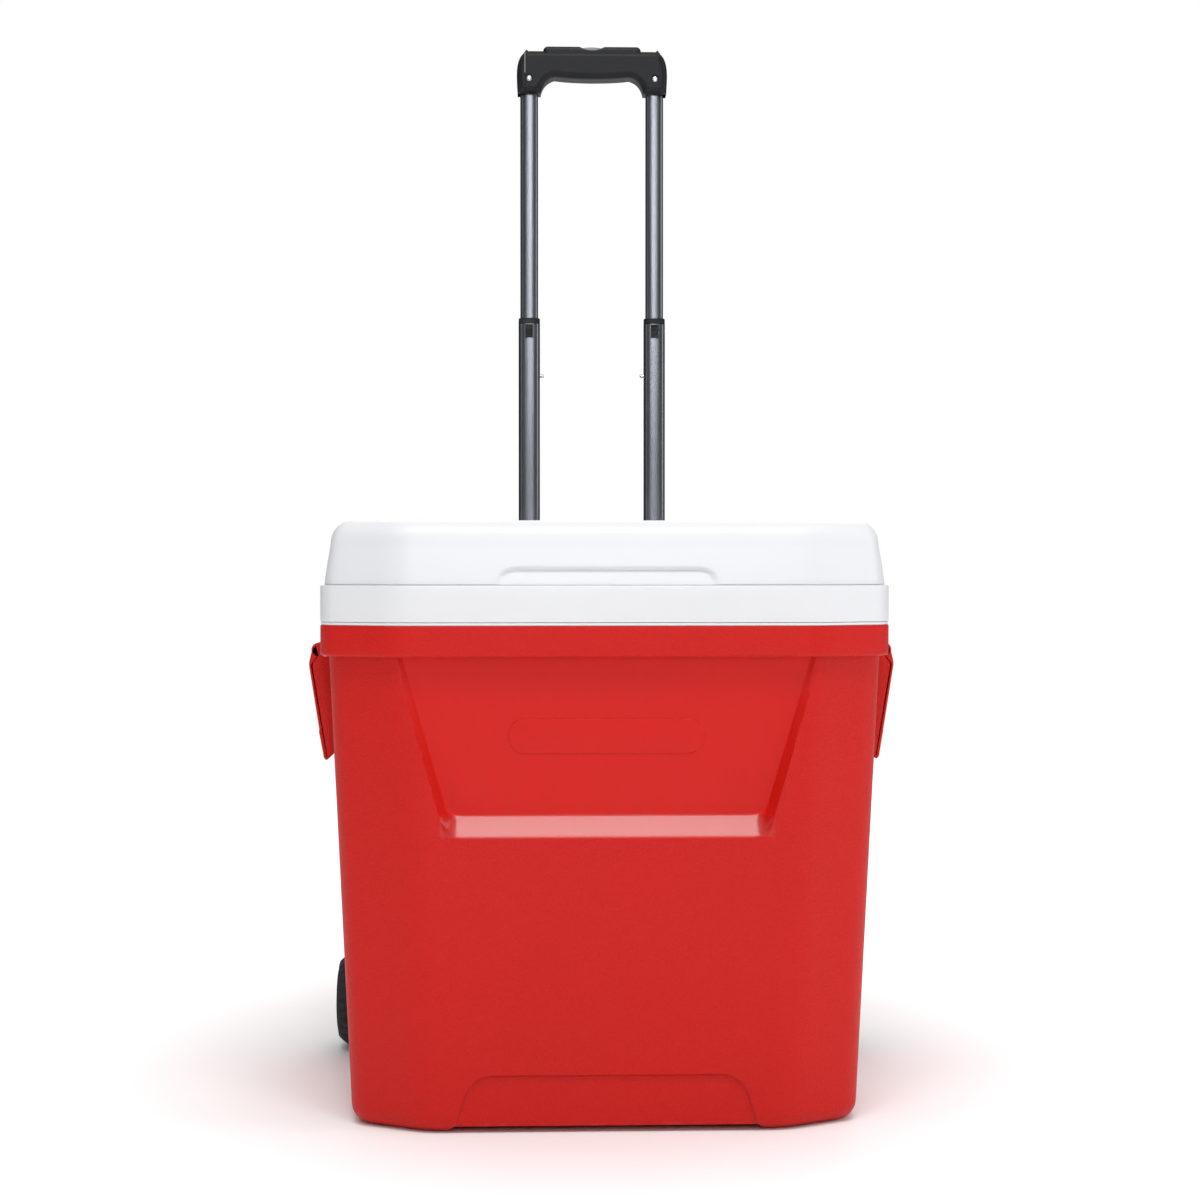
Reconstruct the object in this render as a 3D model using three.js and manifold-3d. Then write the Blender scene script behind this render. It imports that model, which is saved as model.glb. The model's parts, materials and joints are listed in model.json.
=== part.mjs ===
// A wheeled ice chest of about 57 litres: a foam-filled chest with a hinged lid, two wheels on a steel
// axle, a drain, a swinging carry handle on each side and a two-stage telescoping trolley handle.
// Millimetres. +Z is up, the front faces -Y and +X is the right-hand side seen from the front. The origin
// is on the ground, in the middle of the whole object.

import * as THREE from 'three';
import { mergeVertices } from 'three/addons/utils/BufferGeometryUtils.js';
import Module from 'manifold-3d';

const wasm = await Module();
wasm.setup();

// ---- Driving dimensions ----

const GAP = 0.3; // left between pieces that touch
const PAST = 5; // how far a cutting tool runs past the surface it cuts
const WALL = 3; // chest and lid skins
const LINER_WALL = 2.5;
const INSULATION = 32; // from the chest's outside to the liner

// Chest: the half width and the front and rear faces at the floor and at the underside of the rim.
const CHEST = {
  top: 409,
  halfWidth: [221.5, 240],
  front: [-217, -231],
  rear: [183, 195],
  edgeRadius: 15,
};
const FACET_WIDTH = 66; // the bevelled face at each front corner
const FACET_DEPTH = 34;
const CORNER_RADII = [62, 28, 42]; // front face to facet, facet to side, side to rear
const RIM = { bottom: 409, top: 435.5, halfWidth: 247, front: -238, rear: 202, edge: 2.5 };

// Recess in the front under the rim, with a ledge along its bottom.
const RECESS = {
  outerTop: 182,
  outerBottom: 138,
  innerTop: 175,
  innerBottom: 137,
  floor: 273,
  ledge: 254,
  depthTop: 6,
  depthBottom: 14,
  corner: 17,
};
const PANEL = { halfBottom: 132, halfTop: 116, top: 50, depth: 2.5, corner: 17 };

const ARCH_HALF = 135; // the raised middle of the underside, between the feet
const ARCH_RISE = 5;
const REAR_RISE_FROM = 40; // behind this the chest is carried by its wheels
const REAR_RISE = 7;
const TILT_CUT = [[150, 8], [189, 48]]; // rear bottom edge, cut so that the chest can tip on its wheels

const WHEEL = { y: 128, radius: 48, inner: 213, hubOuter: 261.5, rimOuter: 259.5, tyreInner: 33 };
const WELL_RADIUS = 56;
const WELL_INNER = 209;
const AXLE_RADIUS = 5;
const AXLE_END = 258;
const CHANNEL_HALF = 9; // slot in the underside for the axle
const CHANNEL_TOP = 57;
const BLOCK_X = [140, 162];

const LINER_FLOOR = 40.5;
const STEP_Y = 83; // the liner floor steps up over the axle
const STEP_Z = 78.5;
const FLANGE = { bottom: 435.8, top: 438.3, inset: 1 };

const LID = { bottom: 438.6, seam: 470, upper: 470.3, top: 525.5 };
const LID_RINGS = [[470.3, 3.5], [488, 6], [505, 9], [512, 11], [518, 14.5], [523, 19.5], [525.5, 27]];
const PLUG = { halfWidth: 200.5, front: -192, rear: 155.5, bottom: 426.6 };
const SCOOP = { half: 93.5, top: 485.5, depth: 7, shallow: 1, corner: 13 };

const HINGE = { x: 155, y: 206, z: 518, barrel: 5, pin: 2.5, bore: 2.8 };
const TONGUE_HALF = 8;
const ARM_WIDTH = 9;

const TUBE_X = 66.2;
const TUBE_Y = 223;
const INNER = { width: 18.8, depth: 11, wall: 1.2, radius: 5.2, bottom: 680, top: 1008 };
const MIDDLE = { width: 22.6, depth: 16, wall: 1.2, radius: 7, bottom: 400, top: 743.7 };
const OUTER = { width: 27, depth: 20, wall: 1.3, radius: 8, bottom: 101.3, top: 436 };
const COLLAR_TOP = 749.5;
const STOP_PIN_Z = 688.7;
const STOP_PIN_RADIUS = 2;
const UPPER_STROKE = 232;

const GRIP = { front: 208, rear: 238, bottom: 985, side: 1029.5, top: 1034, bevel: 4.5, split: 70.65 };
const BUTTON = { halfLength: 18.5, halfWidth: 8, y: 221, top: 1035.3 };
const YOKE = { bottom: 1014, top: 1020 };
const ROD_X = 61.5;

const TOP_BRACKET = [405, 434];
const LOW_BRACKET = [96, 130];
const BRACKET_SCREW_X = 25;

const SIDE_PIVOT = { x: 256, z: 411, knuckle: 6.5, pin: 2.6, bore: 3 };
const BAIL_Y = [-113, 77];
const BAIL_KNUCKLE = 20;
const BAIL_ARM = 24;
const BAIL_WEB = 4; // thickness of the web that fills each arm's outer end

const DRAIN = { y: -38, z: 55, bore: 6, tube: 8, hole: 8.4 };

// ---- Materials ----

const plastic = (color, roughness) => new THREE.MeshStandardMaterial({ color, roughness, metalness: 0 });
const metal = (color, roughness, metalness) => new THREE.MeshStandardMaterial({ color, roughness, metalness });
const RED = plastic(0xcc2a24, 0.5);
const WHITE = plastic(0xf1f2f4, 0.4);
const FOAM = plastic(0xe8d9a8, 0.9);
const BLACK = plastic(0x1c1d20, 0.5);
const GREY = plastic(0x8f9399, 0.5);
const BLACK_METAL = metal(0x16171a, 0.3, 0.6);
const STEEL = metal(0xb9bcc0, 0.35, 0.9);
const TYRE = plastic(0x202124, 0.8);
const SEAL = plastic(0x2a2b2d, 0.85);

// ---- Solids ----

// Signed volume of an indexed triangle mesh: negative where its faces point inwards.
function signedVolume(points, index) {
  const [a, b, c] = [new THREE.Vector3(), new THREE.Vector3(), new THREE.Vector3()];
  let volume = 0;
  for (let i = 0; i < index.length; i += 3) {
    a.fromArray(points, 3 * index[i]);
    b.fromArray(points, 3 * index[i + 1]);
    c.fromArray(points, 3 * index[i + 2]);
    volume += a.dot(b.cross(c)) / 6;
  }
  return volume;
}

function toSolid(geometry) {
  const bare = geometry.clone();
  bare.deleteAttribute('normal');
  bare.deleteAttribute('uv');
  const merged = mergeVertices(bare, 1e-4);
  const vertProperties = merged.attributes.position.array;
  const triVerts = new Uint32Array(merged.index.array);
  if (signedVolume(vertProperties, triVerts) < 0) triVerts.reverse();
  return new wasm.Manifold(new wasm.Mesh({ numProp: 3, vertProperties, triVerts }));
}

function toGeometry(solid) {
  const mesh = solid.getMesh();
  const geometry = new THREE.BufferGeometry();
  geometry.setAttribute('position', new THREE.BufferAttribute(mesh.vertProperties, 3));
  geometry.setIndex(new THREE.BufferAttribute(mesh.triVerts, 1));
  return geometry;
}

const join = (...parts) => toGeometry(parts.map(toSolid).reduce((all, part) => all.add(part)));
const cut = (base, ...tools) => toGeometry(tools.reduce((left, tool) => left.subtract(toSolid(tool)), toSolid(base)));
const common = (a, b) => toGeometry(toSolid(a).intersect(toSolid(b)));

// ---- Shapes ----

function box([x0, x1], [y0, y1], [z0, z1]) {
  const geometry = new THREE.BoxGeometry(x1 - x0, y1 - y0, z1 - z0);
  return geometry.translate((x0 + x1) / 2, (y0 + y1) / 2, (z0 + z1) / 2);
}

function cylinderX(radius, [x0, x1], y, z, sides = 20) {
  const geometry = new THREE.CylinderGeometry(radius, radius, x1 - x0, sides).rotateZ(Math.PI / 2);
  return geometry.translate((x0 + x1) / 2, y, z);
}

function cylinderY(radius, [y0, y1], x, z, sides = 16) {
  return new THREE.CylinderGeometry(radius, radius, y1 - y0, sides).translate(x, (y0 + y1) / 2, z);
}

function cylinderZ(radius, [z0, z1], x, y, sides = 16) {
  const geometry = new THREE.CylinderGeometry(radius, radius, z1 - z0, sides).rotateX(Math.PI / 2);
  return geometry.translate(x, y, (z0 + z1) / 2);
}

// A profile of [radius, x] points turned about the X axis.
function latheX(profile, sides = 20) {
  const points = profile.map(([radius, x]) => new THREE.Vector2(radius, x));
  return new THREE.LatheGeometry(points, sides).rotateZ(-Math.PI / 2);
}

// A profile of [radius, y] points turned about the Y axis.
function latheY(profile, sides = 8) {
  return new THREE.LatheGeometry(profile.map(([radius, y]) => new THREE.Vector2(radius, y)), sides);
}

const extrude = (shape, depth, options) =>
  new THREE.ExtrudeGeometry(shape, { depth, bevelEnabled: false, curveSegments: 3, ...options });

// A shape drawn in X and Z, extruded along Y.
function extrudeY(shape, [y0, y1], options) {
  return extrude(shape, y1 - y0, options).rotateX(Math.PI / 2).translate(0, y1, 0);
}

// A shape drawn in Y and Z, extruded along X.
function extrudeX(shape, [x0, x1]) {
  const turn = new THREE.Matrix4().makeBasis(
    new THREE.Vector3(0, 1, 0),
    new THREE.Vector3(0, 0, 1),
    new THREE.Vector3(1, 0, 0),
  );
  return extrude(shape, x1 - x0).applyMatrix4(turn).translate(x0, 0, 0);
}

// A shape drawn in X and Y, extruded along Z.
const extrudeZ = (shape, [z0, z1]) => extrude(shape, z1 - z0).translate(0, 0, z0);

const polygon = (points) => new THREE.Shape(points.map(([u, v]) => new THREE.Vector2(u, v)));

function roundedRectangle(width, depth, radius, Path = THREE.Shape) {
  const [w, d] = [width / 2 - radius, depth / 2 - radius];
  const path = new Path();
  path.absarc(w, d, radius, 0, Math.PI / 2);
  path.absarc(-w, d, radius, Math.PI / 2, Math.PI);
  path.absarc(-w, -d, radius, Math.PI, 1.5 * Math.PI);
  path.absarc(w, -d, radius, 1.5 * Math.PI, 2 * Math.PI);
  path.closePath();
  return path;
}

// Corners of a counter-clockwise outline moved inwards by the same distance from every side.
function insetCorners(corners, inset) {
  return corners.map((corner, i) => {
    const before = corners[(i + corners.length - 1) % corners.length];
    const after = corners[(i + 1) % corners.length];
    const first = corner.clone().sub(before).normalize();
    const second = after.clone().sub(corner).normalize();
    const inwards = new THREE.Vector2(-first.y - second.y, first.x + second.x);
    return corner.clone().addScaledVector(inwards, inset / (1 + first.dot(second)));
  });
}

// The same outline with an arc of a given radius and number of steps at each corner.
function roundCorners(corners, radii, steps) {
  return corners.flatMap((corner, i) => {
    const before = corners[(i + corners.length - 1) % corners.length];
    const after = corners[(i + 1) % corners.length];
    const first = corner.clone().sub(before).normalize();
    const second = after.clone().sub(corner).normalize();
    const turn = Math.atan2(first.cross(second), first.dot(second));
    const radius = radii[i];
    const start = corner.clone().addScaledVector(first, -radius * Math.tan(turn / 2));
    const centre = start.clone().add(new THREE.Vector2(-first.y, first.x).multiplyScalar(radius));
    return Array.from({ length: steps[i] + 1 }, (_, k) => start.clone().rotateAround(centre, (turn * k) / steps[i]));
  });
}

// The outline that the chest, its rim and its lid share: bevelled front corners and round rear ones.
function footprint(halfWidth, front, rear, inset = 0) {
  const right = [
    [halfWidth - FACET_WIDTH, front],
    [halfWidth, front + FACET_DEPTH],
    [halfWidth, rear],
  ];
  const left = right.map(([x, y]) => [-x, y]).reverse();
  const corners = [...right, ...left].map(([x, y]) => new THREE.Vector2(x, y));
  const radii = CORNER_RADII.map((radius) => Math.max(radius - inset, 3));
  const steps = [2, 3, 4];
  return roundCorners(insetCorners(corners, inset), [...radii, ...radii.toReversed()], [...steps, ...steps.toReversed()]);
}

const atHeight = (outline, z) => outline.map(({ x, y }) => new THREE.Vector3(x, y, z));

// A closed skin through rings of equally many points, with a flat fan over each end.
function loft(rings) {
  const count = rings[0].length;
  const middle = (ring) => ring.reduce((sum, p) => sum.add(p), new THREE.Vector3()).divideScalar(count);
  const points = [...rings.flat(), middle(rings[0]), middle(rings.at(-1))];
  const bottom = rings.length * count;
  const last = (rings.length - 1) * count;
  const index = [];
  for (let i = 0; i < count; i += 1) {
    const next = (i + 1) % count;
    for (let ring = 0; ring < last; ring += count) {
      index.push(ring + i, ring + next, ring + count + next);
      index.push(ring + i, ring + count + next, ring + count + i);
    }
    index.push(bottom, next, i);
    index.push(bottom + 1, last + i, last + next);
  }
  return new THREE.BufferGeometry().setFromPoints(points).setIndex(index);
}

// ---- Chest ----

const chestAt = ([floor, rim], z) => floor + ((rim - floor) * z) / CHEST.top;

function chestRing(z, inset) {
  const outline = footprint(chestAt(CHEST.halfWidth, z), chestAt(CHEST.front, z), chestAt(CHEST.rear, z), inset);
  return atHeight(outline, z);
}

const rimRing = (z, inset) => atHeight(footprint(RIM.halfWidth, RIM.front, RIM.rear, inset), z);

// The chest's tapered block, its skin moved in by the inset, from a height to the top of the chest.
function chestBlock(inset, bottom, top = CHEST.top + inset) {
  const rings = [0, 45, 90].map((degrees) => {
    const angle = THREE.MathUtils.degToRad(degrees);
    const radius = Math.max(CHEST.edgeRadius - inset, 3);
    return chestRing(bottom + radius * (1 - Math.cos(angle)), inset + radius * (1 - Math.sin(angle)));
  });
  return loft([...rings, chestRing(top, inset)]);
}

// The trapezoid recess in the front, grown by the thickness of what lies behind it.
function recessTool(grow) {
  const outline = (topHalf, bottomHalf, bottom) => {
    const top = CHEST.top + grow;
    const corners = [[bottomHalf, bottom], [topHalf, top], [-topHalf, top], [-bottomHalf, bottom]];
    const radii = [RECESS.corner, 0.5, 0.5, RECESS.corner];
    return roundCorners(corners.map(([x, z]) => new THREE.Vector2(x, z)), radii, [4, 1, 1, 4]);
  };
  const depthAt = (z) => THREE.MathUtils.mapLinear(z, RECESS.floor, CHEST.top, RECESS.depthBottom, RECESS.depthTop);
  const outer = outline(RECESS.outerTop + grow, RECESS.outerBottom + grow, RECESS.ledge - grow);
  const inner = outline(RECESS.innerTop + grow, RECESS.innerBottom + grow, RECESS.floor - grow);
  const place = (ring, depth) => ring.map(({ x, y: z }) => new THREE.Vector3(x, chestAt(CHEST.front, z) + depth(z), z));
  return loft([place(outer, () => -2 * PAST), place(outer, () => 0), place(inner, (z) => depthAt(z) + grow)]);
}

// The shallow panel low on the front, between the feet.
function panelTool(grow) {
  const reach = PAST + grow;
  const corners = [[-PANEL.halfBottom - grow, -reach], [PANEL.halfBottom + grow, -reach]];
  corners.push([PANEL.halfTop + grow, PANEL.top + grow], [-PANEL.halfTop - grow, PANEL.top + grow]);
  const radii = [1, 1, PANEL.corner, PANEL.corner];
  const outline = roundCorners(corners.map(([x, z]) => new THREE.Vector2(x, z)), radii, [1, 1, 4, 4]);
  const place = (depth) => outline.map(({ x, y: z }) => new THREE.Vector3(x, chestAt(CHEST.front, z) + depth, z));
  return loft([place(-2 * PAST), place(PANEL.depth + grow)]);
}

// Everything that is cut out of the underside: arch, raised rear, tipping bevel, wheel wells and axle slot.
function undersideTools(grow) {
  const [[bevelY, bevelZ], [rearY, rearZ]] = TILT_CUT;
  const wide = 300;
  const half = ARCH_HALF + grow;
  const rise = ARCH_RISE + grow;
  const arch = [[-half, -PAST], [half, -PAST], [half, 0], [half - rise, rise], [rise - half, rise], [-half, 0]];
  const rear = [
    [REAR_RISE_FROM - grow, -PAST],
    [wide, -PAST],
    [wide, rearZ + wide - rearY + grow],
    [rearY, rearZ + grow],
    [bevelY - grow / 2, bevelZ + grow],
    [bevelY - grow, REAR_RISE + grow],
    [REAR_RISE_FROM - grow, REAR_RISE + grow],
  ];
  const tools = [
    extrudeY(polygon(arch), [-wide, wide]),
    extrudeX(polygon(rear), [-wide, wide]),
    box([-WELL_INNER - PAST, WELL_INNER + PAST], channelSpan(grow), [-PAST, CHANNEL_TOP + grow]),
  ];
  for (const side of [-1, 1]) {
    const span = side < 0 ? [-wide, grow - WELL_INNER] : [WELL_INNER - grow, wide];
    const radius = WELL_RADIUS + grow;
    tools.push(cylinderX(radius, span, WHEEL.y, WHEEL.radius, 24));
    tools.push(box(span, [WHEEL.y - radius, WHEEL.y + radius], [-PAST, WHEEL.radius]));
  }
  return tools;
}

const channelSpan = (grow) => [WHEEL.y - CHANNEL_HALF - grow, WHEEL.y + CHANNEL_HALF + grow];

// The chest's outside less everything that dents it, its skin moved in by the inset.
function chestForm(inset) {
  const block = cut(chestBlock(inset, inset), recessTool(inset), panelTool(inset), ...undersideTools(inset));
  const edge = Math.max(RIM.edge - inset, 0);
  const rim = loft([
    rimRing(RIM.bottom + inset - (inset ? 0.01 : 0), inset + edge),
    rimRing(RIM.bottom + inset + edge, inset),
    rimRing(RIM.top, inset),
  ]);
  return join(block, rim);
}

// Where a carry handle's pivot pin is held: a lug on the side of the rim.
function pivotLug(y0, y1) {
  const { x, z, knuckle } = SIDE_PIVOT;
  const root = RIM.halfWidth - 2;
  return join(cylinderY(knuckle, [y0, y1], x, z), box([root, x], [y0, y1], [z - 1.5, z + knuckle]));
}

const lugSpans = [
  [BAIL_Y[0] + BAIL_KNUCKLE + 1, BAIL_Y[0] + BAIL_KNUCKLE + 13],
  [BAIL_Y[1] - BAIL_KNUCKLE - 13, BAIL_Y[1] - BAIL_KNUCKLE - 1],
];

const mirrored = (geometry) => toGeometry(toSolid(geometry.clone().scale(-1, 1, 1)));

const bracketScrewHoles = (radius) => [
  ...[-1, 1].map((side) => cylinderY(radius, [194, 215], side * BRACKET_SCREW_X, 420, 12)),
  ...[-1, 1].map((side) => cylinderY(radius, [176, 200], side * BRACKET_SCREW_X, 113, 12)),
];
const hingeScrewHoles = (radius) => [-1, 1].map((side) => cylinderY(radius, [194, 210], side * HINGE.x, 422, 12));
const drainHole = (radius) => cylinderX(radius, [170, 250], DRAIN.y, DRAIN.z, 20);

function chestShell() {
  const mouth = loft([rimRing(RIM.top - 1, WALL), rimRing(RIM.top + PAST, WALL)]);
  const lugs = lugSpans.map(([y0, y1]) => pivotLug(y0, y1));
  const pinHole = cylinderY(SIDE_PIVOT.bore, [BAIL_Y[0], BAIL_Y[1]], SIDE_PIVOT.x, SIDE_PIVOT.z);
  return cut(
    join(chestForm(0), ...lugs, ...lugs.map(mirrored)),
    chestForm(WALL),
    mouth,
    pinHole,
    mirrored(pinHole),
    drainHole(DRAIN.hole),
    ...bracketScrewHoles(2.1),
    ...hingeScrewHoles(2.1),
  );
}

// The inside or outside of the liner, with the step over the axle.
function linerForm(inset, top) {
  const drop = inset - INSULATION;
  const floor = LINER_FLOOR - LINER_WALL + drop;
  const step = box([-300, 300], [STEP_Y + LINER_WALL - drop, 300], [-10, STEP_Z - LINER_WALL + drop]);
  return cut(chestBlock(inset, floor, top), step);
}

function chestLiner() {
  const flange = loft([rimRing(FLANGE.bottom, FLANGE.inset), rimRing(FLANGE.top, FLANGE.inset)]);
  const outside = join(linerForm(INSULATION, FLANGE.top), flange);
  return cut(outside, linerForm(INSULATION + LINER_WALL, FLANGE.top + PAST), drainHole(DRAIN.hole));
}

function chestFoam() {
  const outside = cut(chestForm(WALL + GAP), box([-300, 300], [-300, 300], [RIM.top - GAP, RIM.top + PAST]));
  return cut(
    outside,
    linerForm(INSULATION - GAP, FLANGE.top + PAST),
    drainHole(DRAIN.hole + 1),
    ...bracketScrewHoles(2.4),
    ...hingeScrewHoles(2.4),
  );
}

// ---- Drain ----

function drainFitting() {
  const { bore, tube } = DRAIN;
  const profile = [
    [bore, 185.4],
    [11.5, 185.4],
    [11.5, 188.4],
    [tube, 188.4],
    [tube, 238],
    [bore, 238],
    [bore, 185.4],
  ];
  return latheX(profile, 20).translate(0, DRAIN.y, DRAIN.z);
}

// A washer, or with six sides a nut, around the drain's tube.
const drainRing = (outer, span, sides) =>
  cut(cylinderX(outer, span, DRAIN.y, DRAIN.z, sides), drainHole(DRAIN.tube + GAP));

function drainCap() {
  const profile = [[0, 238.5], [8.6, 238.5], [8.6, 232.5], [14, 232.5], [14.5, 234], [14.5, 241], [13, 242.5], [0, 242.5]];
  return latheX(profile, 24).translate(0, DRAIN.y, DRAIN.z);
}

// ---- Lid ----

const lidRing = (z, inset) => atHeight(footprint(RIM.halfWidth, RIM.front, RIM.rear, inset), z);
const plugRing = (z, inset) => atHeight(footprint(PLUG.halfWidth, PLUG.front, PLUG.rear, inset), z);

function lidBase() {
  const band = loft([
    lidRing(LID.bottom, 1.5),
    lidRing(LID.bottom + 1.5, 0),
    lidRing(LID.seam - 1.2, 0),
    lidRing(LID.seam, 1.2),
  ]);
  const plug = loft([plugRing(PLUG.bottom, 3), plugRing(PLUG.bottom + 3, 0), plugRing(LID.bottom + 1, 0)]);
  const tray = loft([lidRing(LID.bottom + WALL, WALL), lidRing(LID.seam + PAST, WALL)]);
  const well = loft([plugRing(PLUG.bottom + WALL, 2 * WALL), plugRing(LID.seam, 2 * WALL)]);
  return cut(join(band, plug), tray, well);
}

// The finger scoop in the lid's front edge: deepest under its top, running out towards the seam.
function scoopTool(grow) {
  const half = SCOOP.half + grow;
  const top = SCOOP.top + grow;
  const corners = [[-half, LID.seam - PAST], [half, LID.seam - PAST], [half, top], [-half, top]];
  const outline = roundCorners(corners.map(([x, z]) => new THREE.Vector2(x, z)), [1, 1, SCOOP.corner, SCOOP.corner], [1, 1, 4, 4]);
  const face = RIM.front + 3;
  const place = (depth) => outline.map(({ x, y: z }) => new THREE.Vector3(x, face + depth(z), z));
  const slope = (z) => THREE.MathUtils.mapLinear(z, LID.upper, SCOOP.top, SCOOP.shallow, SCOOP.depth);
  return loft([place(() => -3 * PAST), place((z) => slope(z) + grow)]);
}

function lidForm(inset, bottom) {
  const rings = LID_RINGS.filter(([z]) => z > bottom && z < LID.top - inset - 1);
  const [, crown] = LID_RINGS.at(-1);
  const outside = loft([
    lidRing(bottom, LID_RINGS[0][1] + inset),
    ...rings.map(([z, ring]) => lidRing(Math.min(z, LID.top - inset - 1), ring + inset)),
    lidRing(LID.top - inset, crown + inset),
  ]);
  return cut(outside, scoopTool(inset));
}

const lidTop = () => cut(lidForm(0, LID.upper), lidForm(WALL, LID.seam - PAST), ...upperScrewHoles(2.1));

// A foam board that fills the lid's tray and plug.
function lidFoam() {
  const inset = WALL + GAP;
  const tray = loft([lidRing(LID.bottom + inset, inset), lidRing(LID.seam - 1, inset)]);
  const plug = loft([plugRing(PLUG.bottom + inset, 2 * WALL + GAP), plugRing(LID.bottom + inset + 1, 2 * WALL + GAP)]);
  return join(tray, plug);
}

const upperScrewHoles = (radius) => [-1, 1].map((side) => cylinderY(radius, [188, 206], side * HINGE.x, 490, 12));

// ---- Hinges ----

function hingeLower() {
  const { x, y, z, barrel, bore } = HINGE;
  const back = [RIM.rear + GAP, y];
  const reach = TONGUE_HALF + GAP + 1;
  const plate = box([x - reach - ARM_WIDTH, x + reach + ARM_WIDTH], back, [411, 434]);
  const arms = [[x - reach - ARM_WIDTH, x - reach], [x + reach, x + reach + ARM_WIDTH]].map((span) =>
    join(box(span, back, [430, z]), cylinderX(barrel, span, y + 0.5, z, 20)),
  );
  return cut(join(plate, ...arms), cylinderX(bore, [x - 40, x + 40], y, z, 20), cylinderY(2.1, [200, 210], x, 422, 12));
}

function hingeUpper() {
  const { x, y, z, barrel, bore } = HINGE;
  const leaf = polygon([[195.5, 478], [203, 478], [203.5, 496], [y + 3, z - 4], [y - 2, z + 3], [190.5, 508]]);
  const span = [x - TONGUE_HALF, x + TONGUE_HALF];
  const tongue = join(extrudeX(leaf, span), cylinderX(barrel - 0.5, span, y, z, 20));
  const lid = lidForm(-GAP, LID.upper - 1);
  return cut(tongue, lid, cylinderX(bore, [x - 40, x + 40], y, z, 20), cylinderY(2.1, [190, 210], x, 490, 12));
}

const hingePin = () => cylinderX(HINGE.pin, [HINGE.x - 20, HINGE.x + 20], HINGE.y, HINGE.z, 16);

// A pan-head screw along Y: the head's underside at the given Y, the shank running to -Y.
function screw(y, length, head = 3.6, shank = 1.9) {
  return latheY([[0, y - length], [shank, y - length], [shank, y], [head, y], [head, y + 1.2], [head * 0.6, y + 2], [0, y + 2]]);
}

// ---- Trolley handle ----

function tube({ width, depth, wall, radius, bottom, top }) {
  const section = roundedRectangle(width, depth, radius);
  section.holes.push(roundedRectangle(width - 2 * wall, depth - 2 * wall, radius - wall, THREE.Path));
  return extrudeZ(section, [bottom, top]).translate(TUBE_X, TUBE_Y, 0);
}

const tubeHole = ({ width, depth, radius }, grow, span) =>
  extrudeZ(roundedRectangle(width + 2 * grow, depth + 2 * grow, radius + grow), span).translate(TUBE_X, TUBE_Y, 0);

// The slot that lets the stop pin pass, in the side of a tube that faces the other tube.
const pinSlot = (halfWidth, span) => box([TUBE_X - 16, TUBE_X - 8], [TUBE_Y - halfWidth, TUBE_Y + halfWidth], span);

const outerTube = () => cut(tube(OUTER), pinSlot(3, [150, OUTER.top + PAST]));

function middleTube() {
  const window = box([TUBE_X - 4.3, TUBE_X + 4.3], [TUBE_Y - 12, TUBE_Y - 4], [727.5, 742.6]);
  const slot = pinSlot(2.5, [STOP_PIN_Z - UPPER_STROKE - 3, STOP_PIN_Z + 2.4]);
  return cut(tube(MIDDLE), window, slot);
}

// The snap-in guide at the top of a middle tube: a ring, and a tab that clips into the window.
function middleCollar() {
  const ring = cut(
    tubeHole(MIDDLE, 0, [MIDDLE.top + GAP, COLLAR_TOP]),
    tubeHole(INNER, 0.3, [MIDDLE.top - 1, COLLAR_TOP + 1]),
  );
  const front = TUBE_Y - MIDDLE.depth / 2;
  const strip = box([TUBE_X - 3.5, TUBE_X + 3.5], [front + 1.45, front + 2.3], [729, MIDDLE.top + 1]);
  const tab = box([TUBE_X - 3.5, TUBE_X + 3.5], [front + 0.2, front + 1.6], [729.5, 740]);
  return join(ring, strip, tab);
}

const innerTube = () =>
  cut(
    tube(INNER),
    cylinderX(STOP_PIN_RADIUS + 0.2, [TUBE_X - 14, TUBE_X - 5], TUBE_Y, STOP_PIN_Z, 16),
    cylinderY(1.9, [TUBE_Y - 10, TUBE_Y + 10], TUBE_X, 1000, 12),
  );

const stopPin = () =>
  cylinderX(STOP_PIN_RADIUS, [TUBE_X - MIDDLE.width / 2 - 4, TUBE_X - INNER.width / 2 + 3], TUBE_Y, STOP_PIN_Z, 16);

function guideBush() {
  const span = [OUTER.top + GAP, OUTER.top + 7];
  return cut(
    tubeHole(OUTER, 1.2, span),
    tubeHole(MIDDLE, 0.4, [span[0] - 1, span[1] + 1]),
    pinSlot(3, [span[0] - 1, span[1] + 1]),
  );
}

// A bracket that holds both outer tubes: a plate on the chest with a block around each tube.
function tubeBracket([z0, z1], plateY, pocket) {
  const blocks = [-1, 1].map((side) => {
    const block = box([49, 84], [plateY + 2, 236], [z0, z1]);
    const hole = tubeHole(OUTER, GAP, [pocket, z1 + PAST]);
    const slot = box([40, 55], [TUBE_Y - 3.2, TUBE_Y + 3.2], [z0 - 1, z1 + 1]);
    const cutBlock = pocket > z0 ? cut(block, hole) : cut(block, hole, slot);
    return side < 0 ? mirrored(cutBlock) : cutBlock;
  });
  const plate = box([-92, 92], [plateY, plateY + 5], [z0, z1]);
  const holes = [-1, 1].map((side) =>
    cylinderY(2.1, [plateY - 5, plateY + 10], side * BRACKET_SCREW_X, (z0 + z1) / 2 + (pocket > z0 ? 0 : 0.5), 12),
  );
  return cut(join(plate, ...blocks), ...holes);
}

// The grip seen from the front: raised middle, straight shoulders, a rounded cap at each end and two legs.
function gripOutline() {
  const right = new THREE.Path();
  right.moveTo(0, 999.8);
  right.quadraticCurveTo(26, 1000, 39.3, 1002);
  right.quadraticCurveTo(51.5, 999, 54, GRIP.bottom);
  right.lineTo(78.4, GRIP.bottom);
  right.lineTo(79.3, 1003);
  right.quadraticCurveTo(79.4, 1025, 69.3, 1031);
  right.lineTo(66, GRIP.side);
  right.lineTo(52, GRIP.side);
  right.quadraticCurveTo(50.5, GRIP.top, 46, GRIP.top);
  right.lineTo(0, GRIP.top);
  const half = right.getPoints(3);
  const left = half.slice(1, -1).reverse().map(({ x, y }) => new THREE.Vector2(-x, y));
  return new THREE.Shape([...half, ...left]);
}

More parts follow.
